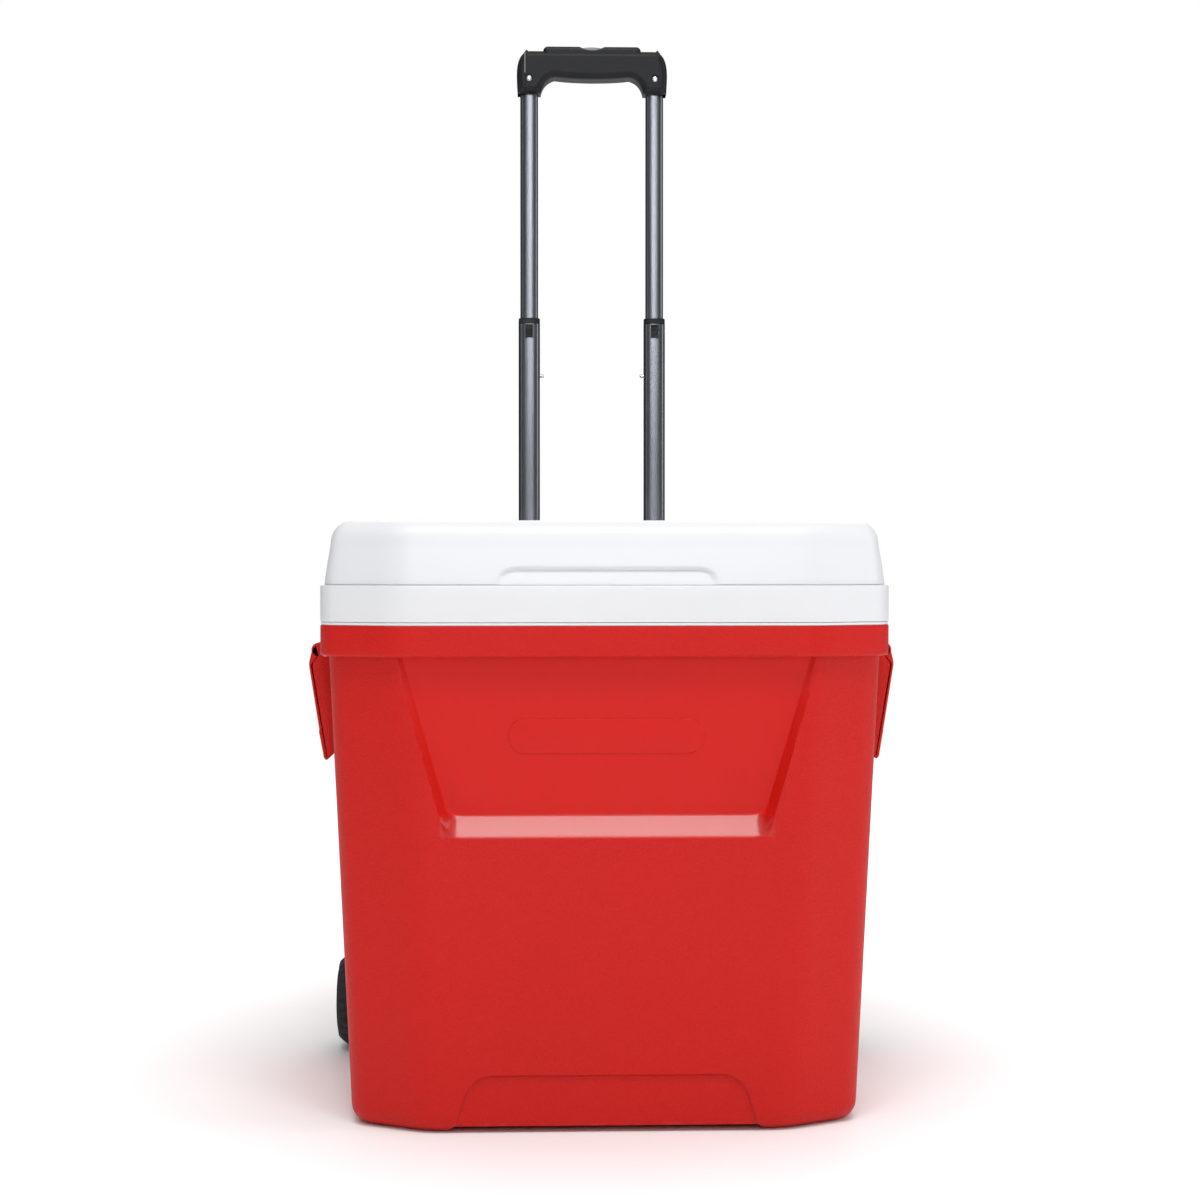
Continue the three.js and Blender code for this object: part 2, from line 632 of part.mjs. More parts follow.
const ellipse = (grow, span) => {
  const shape = new THREE.Shape();
  shape.absellipse(0, BUTTON.y, BUTTON.halfLength + grow, BUTTON.halfWidth + grow, 0, 2 * Math.PI);
  return new THREE.ExtrudeGeometry(shape, { depth: span[1] - span[0], bevelEnabled: false, curveSegments: 16 }).translate(0, 0, span[0]);
};

function gripWhole() {
  const { front, rear, bevel } = GRIP;
  const options = { bevelEnabled: true, bevelThickness: bevel, bevelSize: bevel, bevelOffset: -bevel, bevelSegments: 2 };
  const outside = extrudeY(gripOutline(), [front + bevel, rear - bevel], options);
  const screwRoom = [-1, 1].flatMap((side) => [
    cylinderY(1.9, [200, 232], side * TUBE_X, 1000, 12),
    cylinderY(3.9, [200, GRIP.front + 2.4], side * TUBE_X, 1000, 16),
  ]);
  const hole = tubeHole(INNER, GAP, [GRIP.bottom - 1, INNER.top + GAP]);
  const channel = box([-69, 69], [213, 233], [1004.5, 1025]);
  return cut(outside, channel, hole, mirrored(hole), ellipse(0.4, [1019, 1045]), ...screwRoom);
}

function gripPiece(xSpan, ySpan) {
  return common(gripWhole(), box(xSpan, ySpan, [GRIP.bottom - 10, GRIP.top + 10]));
}

const GRIP_MIDDLE = [GAP / 2 - GRIP.split, GRIP.split - GAP / 2];

function lockYoke() {
  const { bottom, top } = YOKE;
  const bar = box([-ROD_X - 3, ROD_X + 3], [TUBE_Y - 4, TUBE_Y + 4], [bottom, top]);
  const rods = [-1, 1].map((side) => cylinderZ(2, [700, top - 1], side * ROD_X, TUBE_Y, 12));
  return join(bar, ...rods);
}

function releaseButton() {
  const { top, y } = BUTTON;
  const body = ellipse(0, [YOKE.top + GAP, top]);
  const dome = new THREE.SphereGeometry(1, 24, 12).scale(60, 26, 16).translate(0, y, top - 16);
  return common(body, dome);
}

// Four turns of wire between the grip's floor and the yoke.
function buttonSpring() {
  const [radius, low, high, turns] = [4, 1005.9, 1012.9, 3.5];
  const points = Array.from({ length: turns * 12 + 1 }, (_, i) => {
    const angle = (i * Math.PI) / 6;
    const rise = (i / (turns * 12)) * (high - low);
    return new THREE.Vector3(radius * Math.cos(angle), TUBE_Y + radius * Math.sin(angle), low + rise);
  });
  const wire = new THREE.Shape().absarc(0, 0, 0.7, 0, 2 * Math.PI);
  const extrudePath = new THREE.CatmullRomCurve3(points);
  return new THREE.ExtrudeGeometry(wire, { steps: turns * 10, curveSegments: 3, extrudePath });
}

// ---- Wheels ----

function wheelHub() {
  const { inner, hubOuter, rimOuter, tyreInner } = WHEEL;
  const ring = tyreInner - GAP;
  const disc = latheX([
    [AXLE_RADIUS + GAP, inner],
    [12, inner],
    [12, inner + 14],
    [ring - 3, inner + 14],
    [ring - 3, inner + 4],
    [ring, inner + 4],
    [ring, rimOuter - 2.5],
    [ring - 2, rimOuter],
    [ring - 5.5, rimOuter],
    [ring - 7, rimOuter - 2],
    [ring - 8, inner + 24],
    [13, inner + 24],
    [12, hubOuter - 6],
    [8, hubOuter - 1],
    [4, hubOuter],
    [0, hubOuter],
    [0, AXLE_END + GAP],
    [AXLE_RADIUS + GAP, AXLE_END + GAP],
    [AXLE_RADIUS + GAP, inner],
  ]);
  const spokes = Array.from({ length: 5 }, (_, i) => {
    const spoke = box([inner + 20, rimOuter - 1.5], [-4.5, 4.5], [-ring + 2, -10]);
    return spoke.rotateX((i * 2 * Math.PI) / 5);
  });
  return join(disc, ...spokes).translate(0, WHEEL.y, WHEEL.radius);
}

function tyre() {
  const { inner, radius, tyreInner, rimOuter } = WHEEL;
  const profile = [
    [tyreInner, inner + 4],
    [radius - 5, inner + 4],
    [radius - 1, inner + 7],
    [radius, inner + 12],
    [radius, inner + 32],
    [radius - 1.5, inner + 38],
    [radius - 6, inner + 43],
    [tyreInner + 4, rimOuter - 0.8],
    [tyreInner, rimOuter - 2],
    [tyreInner, inner + 4],
  ];
  return latheX(profile, 28).translate(0, WHEEL.y, WHEEL.radius);
}

function axleBlock() {
  const [y0, y1] = channelSpan(-GAP);
  const body = box(BLOCK_X, [y0, y1], [WHEEL.radius - 12, CHANNEL_TOP - GAP]);
  return cut(body, cylinderX(AXLE_RADIUS + GAP, [BLOCK_X[0] - 1, BLOCK_X[1] + 1], WHEEL.y, WHEEL.radius));
}

// ---- Carry handles ----

// A swinging bail: a knuckle at each end of the pivot, two arms and a grip bar along the bottom.
function sideHandle() {
  const { x, z, knuckle, bore } = SIDE_PIVOT;
  const plate = polygon([
    [x - 1, z - 5],
    [x + 2, z + 5.5],
    [x + 5.5, z + 2],
    [264.5, 400],
    [264.5, 396.5],
    [251.5, 314],
    [249.5, 311.5],
    [247.4, 312.5],
    [247.6, 316],
    [260.5, 396],
    [260.3, 398.5],
  ]);
  const bar = polygon([[247.6, 316], [249.3, 311.5], [252.5, 315], [257.3, 340], [251.8, 341]]);
  const web = polygon([[242, z - 6.5], [242, 318], [248.5, 313.5], [262, 398], [x + 1, z - 6]]);
  const body = join(
    extrudeY(plate, BAIL_Y),
    extrudeY(web, [BAIL_Y[0], BAIL_Y[0] + BAIL_WEB]),
    extrudeY(web, [BAIL_Y[1] - BAIL_WEB, BAIL_Y[1]]),
    extrudeY(bar, [BAIL_Y[0] + 4, BAIL_Y[1] - 4]),
    cylinderY(knuckle, [BAIL_Y[0], BAIL_Y[0] + BAIL_KNUCKLE], x, z),
    cylinderY(knuckle, [BAIL_Y[1] - BAIL_KNUCKLE, BAIL_Y[1]], x, z),
  );
  const fingers = box([230, 280], [BAIL_Y[0] + BAIL_ARM, BAIL_Y[1] - BAIL_ARM], [342, 430]);
  const between = box([230, 280], [BAIL_Y[0] + BAIL_KNUCKLE, BAIL_Y[1] - BAIL_KNUCKLE], [z - 10, 430]);
  return cut(body, fingers, between, cylinderY(bore, [BAIL_Y[0] - 1, BAIL_Y[1] + 1], x, z));
}

const sidePin = () =>
  cylinderY(SIDE_PIVOT.pin, [BAIL_Y[0] + 1, BAIL_Y[1] - 1], SIDE_PIVOT.x, SIDE_PIVOT.z, 16);

// ---- Assembly ----

const cooler = new THREE.Group();

function add(name, geometry, material) {
  const mesh = new THREE.Mesh(toGeometry(toSolid(geometry)), material);
  mesh.name = name;
  cooler.add(mesh);
}

// A right-hand piece and its mirror image on the left.
function addPair(name, geometry, material) {
  add(`${name}_right`, geometry, material);
  add(`${name}_left`, mirrored(geometry), material);
}

add('chest_shell', chestShell(), RED);
add('chest_foam', chestFoam(), FOAM);
add('chest_liner', chestLiner(), WHITE);

add('drain_fitting', drainFitting(), WHITE);
add('drain_gasket', drainRing(13.5, [225, 226.6], 20), SEAL);
add('drain_nut', drainRing(13, [226.9, 231.9], 6), WHITE);
add('drain_cap', drainCap(), WHITE);

add('lid_base', lidBase(), WHITE);
add('lid_top', lidTop(), WHITE);
add('lid_foam', lidFoam(), FOAM);

addPair('hinge_lower', hingeLower(), WHITE);
addPair('hinge_upper', hingeUpper(), WHITE);
addPair('hinge_pin', hingePin(), STEEL);
addPair('hinge_screw_lower', screw(HINGE.y + GAP, 11).translate(HINGE.x, 0, 422), STEEL);
addPair('hinge_screw_upper', screw(203.6, 11).translate(HINGE.x, 0, 490), STEEL);

add('handle_top_bracket', tubeBracket(TOP_BRACKET, RIM.rear + GAP, TOP_BRACKET[0] - 1), BLACK);
add('handle_bottom_bracket', tubeBracket(LOW_BRACKET, 187.2, LOW_BRACKET[0] + 5), BLACK);
addPair('top_bracket_screw', screw(RIM.rear + 5 + 2 * GAP, 11).translate(BRACKET_SCREW_X, 0, 420), STEEL);
addPair('bottom_bracket_screw', screw(192.5, 12).translate(BRACKET_SCREW_X, 0, 113), STEEL);
addPair('outer_tube', outerTube(), BLACK_METAL);
addPair('guide_bush', guideBush(), BLACK);
addPair('middle_tube', middleTube(), BLACK_METAL);
addPair('middle_collar', middleCollar(), BLACK);
addPair('inner_tube', innerTube(), BLACK_METAL);
addPair('stop_pin', stopPin(), STEEL);

add('grip_front', gripPiece(GRIP_MIDDLE, [GRIP.front - 5, TUBE_Y - GAP / 2]), BLACK);
add('grip_rear', gripPiece(GRIP_MIDDLE, [TUBE_Y + GAP / 2, GRIP.rear + 5]), BLACK);
addPair('grip_cap', gripPiece([GRIP.split + GAP / 2, 90], [GRIP.front - 5, GRIP.rear + 5]), BLACK);
addPair('grip_screw', screw(0, 12, 3.4, 1.6).rotateZ(Math.PI).translate(TUBE_X, GRIP.front + 2.1, 1000), STEEL);
add('release_button', releaseButton(), GREY);
add('lock_yoke', lockYoke(), STEEL);
add('button_spring', buttonSpring(), STEEL);

add('axle', cylinderX(AXLE_RADIUS, [-AXLE_END, AXLE_END], WHEEL.y, WHEEL.radius, 24), STEEL);
addPair('axle_block', axleBlock(), BLACK);
addPair('wheel_hub', wheelHub(), BLACK);
addPair('tyre', tyre(), TYRE);

addPair('side_handle', sideHandle(), RED);
addPair('side_handle_pin', sidePin(), STEEL);

export default cooler;
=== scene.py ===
import json
from math import atan2, cos, pi, radians, sin, sqrt, tan

import bmesh
import bpy
import numpy as np
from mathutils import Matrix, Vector
from mathutils.geometry import tessellate_polygon

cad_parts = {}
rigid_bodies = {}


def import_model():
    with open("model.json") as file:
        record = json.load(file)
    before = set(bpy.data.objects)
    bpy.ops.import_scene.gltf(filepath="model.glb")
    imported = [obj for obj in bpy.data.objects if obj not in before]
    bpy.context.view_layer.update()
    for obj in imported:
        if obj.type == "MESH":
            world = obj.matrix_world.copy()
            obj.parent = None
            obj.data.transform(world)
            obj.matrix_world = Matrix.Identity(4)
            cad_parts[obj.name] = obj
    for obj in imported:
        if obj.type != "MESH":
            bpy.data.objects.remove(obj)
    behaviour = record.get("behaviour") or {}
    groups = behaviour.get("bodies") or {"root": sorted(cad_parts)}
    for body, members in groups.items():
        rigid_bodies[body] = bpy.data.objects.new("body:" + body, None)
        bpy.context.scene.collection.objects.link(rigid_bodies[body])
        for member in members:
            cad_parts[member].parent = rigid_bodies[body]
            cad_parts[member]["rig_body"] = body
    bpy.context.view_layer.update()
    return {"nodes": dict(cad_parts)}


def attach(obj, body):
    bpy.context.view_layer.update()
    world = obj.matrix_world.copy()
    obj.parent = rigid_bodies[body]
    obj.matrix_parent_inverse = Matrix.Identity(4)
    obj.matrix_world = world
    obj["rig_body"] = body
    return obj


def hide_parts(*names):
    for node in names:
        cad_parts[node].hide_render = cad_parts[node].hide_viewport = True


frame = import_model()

bl_info = {
    "name": "Wheeled Ice Chest",
    "version": (1, 0, 0),
    "blender": (4, 5, 0),
    "location": "View3D > Sidebar > Ice Chest",
    "description": "Builds a wheeled ice chest with a trolley handle around its packed frame",
    "category": "Add Mesh",
}

SIDES = (("right", 1), ("left", -1))
MM = 0.001

# Sizes in millimetres, in the frame's axes: +Z up, the front faces -Y.
CHEST_TOP = 409
CHEST_HALF = (221.5, 240)
CHEST_FRONT = (-217, -231)
CHEST_REAR = (183, 195)
RIM_HALF, RIM_FRONT, RIM_REAR, RIM_TOP = 247, -238, 202, 435.5
FACET_WIDTH, FACET_DEPTH = 66, 34
CORNER_RADII = (62, 28, 42)
WALL = 3
INSULATION = 32
LINER_WALL = 2.5
WHEEL_Y, WHEEL_RADIUS = 128, 48
AXLE_RADIUS = 5
TUBE_X, TUBE_Y = 66.2, 223
HINGE_X, HINGE_Y, HINGE_Z = 155, 206, 518
PIVOT_X, PIVOT_Z = 256, 411
BAIL_Y = (-113, 77)
DRAIN_Y, DRAIN_Z = -38, 55
# The front recess: half its width at the top, its sloping wall, how far each side edge moves in for every
# millimetre down, the ledge's bottom and top, and the depth over the ledge and at the top.
RECESS_HALF, RECESS_WALL, RECESS_LEAN = 182, 7, 0.285
LEDGE_LOW, LEDGE_HIGH = 254, 273
RECESS_DEEP, RECESS_SHALLOW = 14, 6
# The low panel between the front feet.
PANEL_HALF, PANEL_LEAN, PANEL_TOP, PANEL_CORNER, PANEL_DEPTH = 132, 0.32, 50, 18, 2.5
# A wheel well's rounded edge lies between two radii about the axle, and its inner wall at a place in X.
WELL_EDGE = (55.5, 58)
WELL_WALL_X = 209


# ---- Settings ----


class IceChestSettings(bpy.types.PropertyGroup):
    body_color: bpy.props.FloatVectorProperty(
        name="Body colour",
        description="Moulded colour of the chest and its carry handles",
        subtype="COLOR",
        size=3,
        min=0,
        max=1,
        default=(0.600, 0.0048, 0.0012),
    )
    lid_color: bpy.props.FloatVectorProperty(
        name="Lid colour",
        description="Moulded colour of the lid, liner and hinges",
        subtype="COLOR",
        size=3,
        min=0,
        max=1,
        default=(0.730, 0.738, 0.758),
    )
    trim_color: bpy.props.FloatVectorProperty(
        name="Trim colour",
        description="Moulded colour of the grip, brackets and wheels",
        subtype="COLOR",
        size=3,
        min=0,
        max=1,
        default=(0.0085, 0.0088, 0.0105),
    )
    grain: bpy.props.FloatProperty(
        name="Grain",
        description="Distance between the bumps of the moulded grain",
        subtype="DISTANCE",
        unit="LENGTH",
        default=0.0013,
        min=0.0002,
        max=0.01,
    )
    camera_distance: bpy.props.FloatProperty(
        name="Camera distance",
        description="From the camera to the front of the rim",
        subtype="DISTANCE",
        unit="LENGTH",
        default=1.8,
        min=0.5,
        max=10,
    )


# ---- Shader maths ----


class Wire:
    """A shader socket. Arithmetic on it adds Math nodes."""

    def __init__(self, graph, socket):
        self.graph = graph
        self.socket = socket

    def math(self, operation, *values):
        return self.graph.node("ShaderNodeMath", {"operation": operation}, dict(enumerate(values)))

    def __add__(self, other):
        return self.math("ADD", self, other)

    __radd__ = __add__

    def __sub__(self, other):
        return self.math("SUBTRACT", self, other)

    def __rsub__(self, other):
        return self.math("SUBTRACT", other, self)

    def __mul__(self, other):
        return self.math("MULTIPLY", self, other)

    __rmul__ = __mul__

    def __abs__(self):
        return self.math("ABSOLUTE", self)

    def above_zero(self):
        return self.math("MAXIMUM", self, 0.0)

    def root(self):
        return self.math("SQRT", self)

    def ramp(self, low, high, start=0.0, end=1.0):
        """The value carried from low..high to start..end, held at both ends."""
        sockets = {"Value": self, "From Min": low, "From Max": high, "To Min": start, "To Max": end}
        return self.graph.node("ShaderNodeMapRange", {"clamp": True}, sockets)


class Graph:
    """A node tree, with one method that adds a node: type, settings, then socket values or links."""

    def __init__(self, tree):
        self.tree = tree
        self.tree.nodes.clear()

    def node(self, kind, settings=None, sockets=None, output=0):
        node = self.tree.nodes.new(kind)
        for key, value in (settings or {}).items():
            setattr(node, key, value)
        for key, value in (sockets or {}).items():
            if isinstance(value, Wire):
                self.tree.links.new(value.socket, node.inputs[key])
            else:
                node.inputs[key].default_value = value
        return Wire(self, node.outputs[output])

    def axes(self, place):
        split = self.node("ShaderNodeSeparateXYZ", sockets={0: place})
        return [Wire(self, output) for output in split.socket.node.outputs]

    def blend(self, factor, first, second):
        return self.node("ShaderNodeMix", {"data_type": "RGBA"}, {0: factor, 6: first, 7: second}, output=2)


class Finish(Graph):
    """A material made from one Principled shader and the nodes that feed it."""

    def __init__(self, name, **constants):
        self.material = bpy.data.materials.new(name)
        self.material.use_nodes = True
        super().__init__(self.material.node_tree)
        self.shader = self.tree.nodes.new("ShaderNodeBsdfPrincipled")
        output = self.tree.nodes.new("ShaderNodeOutputMaterial")
        self.tree.links.new(self.shader.outputs[0], output.inputs["Surface"])
        for socket, value in constants.items():
            self.shader.inputs[socket.replace("_", " ")].default_value = value
        self.place = self.node("ShaderNodeTexCoord", output="Object")

    def feed(self, **wires):
        for socket, wire in wires.items():
            self.tree.links.new(wire.socket, self.shader.inputs[socket.replace("_", " ")])

    def noise(self, scale, detail=3.0, roughness=0.5, stretch=None):
        where = self.place
        if stretch:
            where = self.node("ShaderNodeVectorMath", {"operation": "MULTIPLY"}, {0: self.place, 1: stretch})
        sockets = {"Vector": where, "Scale": scale, "Detail": detail, "Roughness": roughness}
        return self.node("ShaderNodeTexNoise", None, sockets)

    def pebbles(self, scale):
        sockets = {"Vector": self.place, "Scale": scale, "Smoothness": 0.6}
        return self.node("ShaderNodeTexVoronoi", {"feature": "SMOOTH_F1"}, sockets)

    def bump(self, height, distance, strength=1.0, under=None):
        sockets = {"Height": height, "Distance": distance, "Strength": strength}
        if under:
            sockets["Normal"] = under
        return self.node("ShaderNodeBump", None, sockets)

    def wear(self):
        """Near 1 on sharp outer edges, 0 on flats and in corners."""
        return self.node("ShaderNodeNewGeometry", output="Pointiness").ramp(0.52, 0.60)


def opaque(color):
    return (*color, 1.0)


def tint(color, factor):
    return tuple(min(1.0, max(0.0, channel * factor)) for channel in color) + (1.0,)


def on_front(y):
    """1 on the front of the chest, 0 behind it."""
    return y.ramp(-0.205, -0.2, 1.0, 0.0)


def recess_masks(finish):
    """1 on the smooth floor of the front recess, and 1 on the polished ledge under it."""
    x, y, z = finish.axes(finish.place)
    floor_half = 0.137 + (z - LEDGE_HIGH * MM) * 0.2794
    ledge_half = 0.142
    floor = (floor_half - abs(x)).ramp(-0.0012, 0.0012) * on_front(y)
    ledge = (ledge_half - abs(x)).ramp(-0.002, 0.002) * on_front(y)
    floor = floor * z.ramp(0.2715, 0.2735) * z.ramp(0.4085, 0.409, 1.0, 0.0)
    return floor, ledge * z.ramp(0.2545, 0.2565) * z.ramp(0.2715, 0.2735, 1.0, 0.0)


def panel_groove_shade(finish):
    """Painted shade mask: 1 along the border of the low front panel, where the base colour is darkened as
    shade in its step.
    """
    x, y, z = finish.axes(finish.place)
    corner = PANEL_CORNER * MM
    side = (corner - (PANEL_HALF * MM - z * PANEL_LEAN - abs(x))).above_zero()
    top = (corner - (PANEL_TOP * MM - z)).above_zero()
    inside = corner - (side * side + top * top).root()
    line = abs(inside - 0.0004).ramp(0.0003, 0.0012, 1.0, 0.0)
    return line * on_front(y)


def grained_red(color, grain):
    """Grained polypropylene: a fine pebble, smoother in the recess, with faint sink and flow marks, and
    painted shade along the low panel's border.
    """
    f = Finish("grained_red", IOR=1.49, Specular_IOR_Level=0.3, Coat_Roughness=0.2)
    floor, ledge = recess_masks(f)
    smooth = floor + ledge
    pebble = f.pebbles(0.9 / grain)
    fine = f.noise(2600.0, 2.0)
    cloud = f.noise(7.0, 4.0)
    streak = f.noise(9.0, 5.0, 0.6, (14, 14, 0.6))
    mottle = cloud * 0.6 + streak * smooth * 0.5
    base = f.blend(mottle.ramp(0.25, 0.85), tint(color, 0.93), tint(color, 1.05))
    speck_and_shade = f.blend(pebble.ramp(0.15, 0.75) * (1 - smooth) * 0.5, base, tint(color, 0.80))
    # Painted shade: the base colour is darkened along the border groove of the low front panel.
    speck_and_shade = f.blend(panel_groove_shade(f) * 0.45, speck_and_shade, tint(color, 0.45))
    wear_and_shade = f.blend(f.wear() * f.noise(160.0, 3.0).ramp(0.5, 0.75) * 0.35, speck_and_shade, (0.78, 0.20, 0.18, 1.0))
    rough = 0.44 + pebble * 0.10 + cloud * 0.08 - floor * 0.07 - ledge * 0.18 + streak * smooth * 0.08
    grain_height = (1 - pebble) * (1 - smooth * 0.85) + fine * 0.25
    wide = f.bump(cloud, 0.0006, 0.35)
    wear_and_shade = f.blend(ledge * 0.5, wear_and_shade, tint(color, 0.6))
    normal = f.bump(grain_height, 0.00028, 0.9, wide)
    f.feed(Base_Color=wear_and_shade, Roughness=rough, Normal=normal, Coat_Weight=ledge * 0.6)
    return f.material


def lid_white(color, name="lid_white", shine=0.0):
    """Satin white moulding with a very fine grain and slight unevenness."""
    f = Finish(name, IOR=1.49, Specular_IOR_Level=0.5)
    cloud = f.noise(5.0, 4.0)
    fine = f.noise(1500.0, 2.0)
    dust = f.noise(70.0, 5.0, 0.7).ramp(0.62, 0.8)
    base = f.blend(cloud.ramp(0.3, 0.7), tint(color, 0.985), tint(color, 1.01))
    base = f.blend(dust * 0.10, base, (0.55, 0.54, 0.52, 1.0))
    rough = 0.34 - shine + cloud * 0.12 + dust * 0.1
    f.feed(Base_Color=base, Roughness=rough, Normal=f.bump(fine, 0.00006, 0.5, f.bump(cloud, 0.0005, 0.3)))
    return f.material


def trim_black(color, name, grain=1400.0, rough=0.46, depth=0.00008):
    """Black moulding with a spark-eroded grain, rubbed smoother and greyer on its edges."""
    f = Finish(name, IOR=1.5, Specular_IOR_Level=0.2)
    fine = f.noise(grain, 3.0)
    cloud = f.noise(24.0, 4.0)
    edge = f.wear() * f.noise(90.0, 3.0).ramp(0.35, 0.7)
    base = f.blend(cloud.ramp(0.3, 0.8), opaque(color), tint(color, 1.5))
    base = f.blend(edge * 0.5, base, (0.075, 0.077, 0.082, 1.0))
    surface = rough + cloud * 0.14 - edge * 0.12
    f.feed(Base_Color=base, Roughness=surface, Normal=f.bump(fine, depth, 0.8))
    return f.material


def tube_black():
    """Black anodised tube: faint lengthwise draw lines in a satin sheen."""
    f = Finish("tube_black", IOR=1.5, Metallic=1.0, Specular_Tint=(0.03, 0.03, 0.035, 1.0))
    lines = f.noise(60.0, 4.0, 0.6, (9, 9, 0.12))
    cloud = f.noise(14.0, 3.0)
    rub = f.noise(30.0, 5.0, 0.65, (3, 3, 0.5)).ramp(0.6, 0.85)
    base = f.blend(lines.ramp(0.3, 0.75), (0.165, 0.171, 0.195, 1.0), (0.215, 0.223, 0.252, 1.0))
    base = f.blend(rub * 0.3, base, (0.30, 0.31, 0.335, 1.0))
    rough = 0.24 + lines * 0.08 + cloud * 0.05 + rub * 0.08
    f.feed(Base_Color=base, Roughness=rough, Normal=f.bump(lines, 0.00006, 0.5))
    return f.material


def plated_steel():
    """Zinc-plated steel, a little mottled."""
    f = Finish("plated_steel", Metallic=1.0)
    mottle = f.noise(420.0, 4.0)
    cloud = f.noise(40.0, 3.0)
    base = f.blend(mottle.ramp(0.35, 0.7), (0.42, 0.43, 0.45, 1.0), (0.62, 0.63, 0.64, 1.0))
    f.feed(Base_Color=base, Roughness=0.26 + cloud * 0.2, Normal=f.bump(mottle, 0.00003, 0.5))
    return f.material


def tyre_rubber():
    """Matte tread compound with dust caught in it."""
    f = Finish("tyre_rubber", IOR=1.5, Specular_IOR_Level=0.35)
    fine = f.noise(900.0, 4.0)
    cloud = f.noise(38.0, 5.0)
    dust = f.noise(150.0, 4.0, 0.7).ramp(0.55, 0.8)
    base = f.blend(cloud.ramp(0.3, 0.75), (0.014, 0.014, 0.015, 1.0), (0.028, 0.028, 0.029, 1.0))
    base = f.blend(dust * 0.3, base, (0.11, 0.105, 0.10, 1.0))
    f.feed(Base_Color=base, Roughness=0.68 + cloud * 0.2, Normal=f.bump(fine, 0.00012, 0.8))
    return f.material


def button_grey():
    f = Finish("button_grey", IOR=1.48)
    fine = f.noise(1100.0, 2.0)
    cloud = f.noise(50.0, 3.0)
    base = f.blend(cloud.ramp(0.3, 0.7), (0.20, 0.205, 0.215, 1.0), (0.26, 0.265, 0.275, 1.0))
    f.feed(Base_Color=base, Roughness=0.38 + cloud * 0.15, Normal=f.bump(fine, 0.00005, 0.6))
    return f.material


def foam_yellow():
    """Rigid urethane foam: cells and a darker skin."""
    f = Finish("foam_yellow", IOR=1.4, Specular_IOR_Level=0.2)
    cells = f.pebbles(620.0)
    cloud = f.noise(18.0, 4.0)
    base = f.blend(cloud.ramp(0.3, 0.7), (0.72, 0.60, 0.33, 1.0), (0.84, 0.74, 0.48, 1.0))
    f.feed(Base_Color=base, Roughness=0.85 + cloud * 0.1, Normal=f.bump(cells, 0.0005, 0.9))
    return f.material


def floor_white():
    f = Finish("floor_white", Specular_IOR_Level=0.1, Emission_Strength=0.3)
    x, y, _ = f.axes(f.place)
    reach = (x * x + y * y).root()
    glow = f.blend(reach.ramp(0.27, 0.75), (0.0, 0.0, 0.0, 1.0), (1.0, 1.0, 1.0, 1.0))
    cloud = f.noise(1.3, 2.0)
    base = f.blend(cloud, (0.93, 0.93, 0.93, 1.0), (0.96, 0.96, 0.96, 1.0))
    f.feed(Base_Color=base, Roughness=0.85 + cloud * 0.1, Emission_Color=glow)
    return f.material


FINISHES = {}


def finish(name):
    """The named finish, made the first time it is asked for."""
    looks = bpy.context.scene.ice_chest
    makers = {
        "red": lambda: grained_red(looks.body_color, looks.grain),
        "white": lambda: lid_white(looks.lid_color),
        "liner": lambda: lid_white(looks.lid_color, "liner_white", 0.08),
        "black": lambda: trim_black(looks.trim_color, "trim_black"),
        "grip": lambda: trim_black(looks.trim_color, "grip_black", 1100.0, 0.36, 0.00007),
        "hub": lambda: trim_black(looks.trim_color, "hub_black", 700.0, 0.50, 0.0001),
        "seal": lambda: trim_black(looks.trim_color, "seal_black", 500.0, 0.7, 0.0001),
        "tube": tube_black,
        "steel": plated_steel,
        "tyre": tyre_rubber,
        "button": button_grey,
        "foam": foam_yellow,
        "floor": floor_white,
    }
    if name not in FINISHES:
        FINISHES[name] = makers[name]()
    return FINISHES[name]


# ---- Shapes ----


class Form:
    """Points in millimetres and faces, gathered before they become one piece."""

    def __init__(self):
        self.points = []
        self.faces = []

    def add(self, points, faces):
        start = len(self.points)
        self.points.extend(tuple(map(float, p)) for p in points)
        self.faces.extend(tuple(i + start for i in face) for face in faces)
        return self

    def join(self, *others):
        for other in others:
            self.add(other.points, other.faces)
        return self

    def move(self, x=0, y=0, z=0):
        self.points = [(a + x, b + y, c + z) for a, b, c in self.points]
        return self

    def mirror(self):
        """The left-hand copy of a right-hand form."""
        copy = Form()
        return copy.add([(-x, y, z) for x, y, z in self.points], [face[::-1] for face in self.faces])

    def sided(self, sign):
        return self if sign > 0 else self.mirror()


def loft(rings, caps=(True, True), loop=False):
    """A skin through rings of equally many points. With loop, the last ring joins the first."""
    rings = [np.asarray(ring, float) for ring in rings]
    count = len(rings[0])
    form = Form()
    faces = []
    spans = len(rings) if loop else len(rings) - 1
    for level in range(spans):
        low = level * count
        high = ((level + 1) % len(rings)) * count
        for i in range(count):
            j = (i + 1) % count
            faces.append((low + i, low + j, high + j, high + i))
    points = [tuple(p) for ring in rings for p in ring]
    if not loop:
        for wanted, ring, start in ((caps[0], rings[0], 0), (caps[1], rings[-1], (len(rings) - 1) * count)):
            if wanted:
                middle = len(points)
                points.append(tuple(ring.mean(axis=0)))
                faces.extend((start + i, start + (i + 1) % count, middle) for i in range(count))
    return form.add(points, faces)


def lathe(profile, sides, axis="X"):
    """A closed profile of (radius, along) turned about an axis."""
    order = {"X": (2, 0, 1), "Y": (0, 2, 1), "Z": (0, 1, 2)}[axis]
    rings = []
    for radius, along in profile:
        ring = []
        for k in range(sides):
            angle = 2 * pi * k / sides
            local = (radius * cos(angle), radius * sin(angle), along)
            ring.append(tuple(local[i] for i in order))
        rings.append(ring)
    return loft(rings, caps=(profile[0][0] > 0, profile[-1][0] > 0), loop=profile[0] == profile[-1])


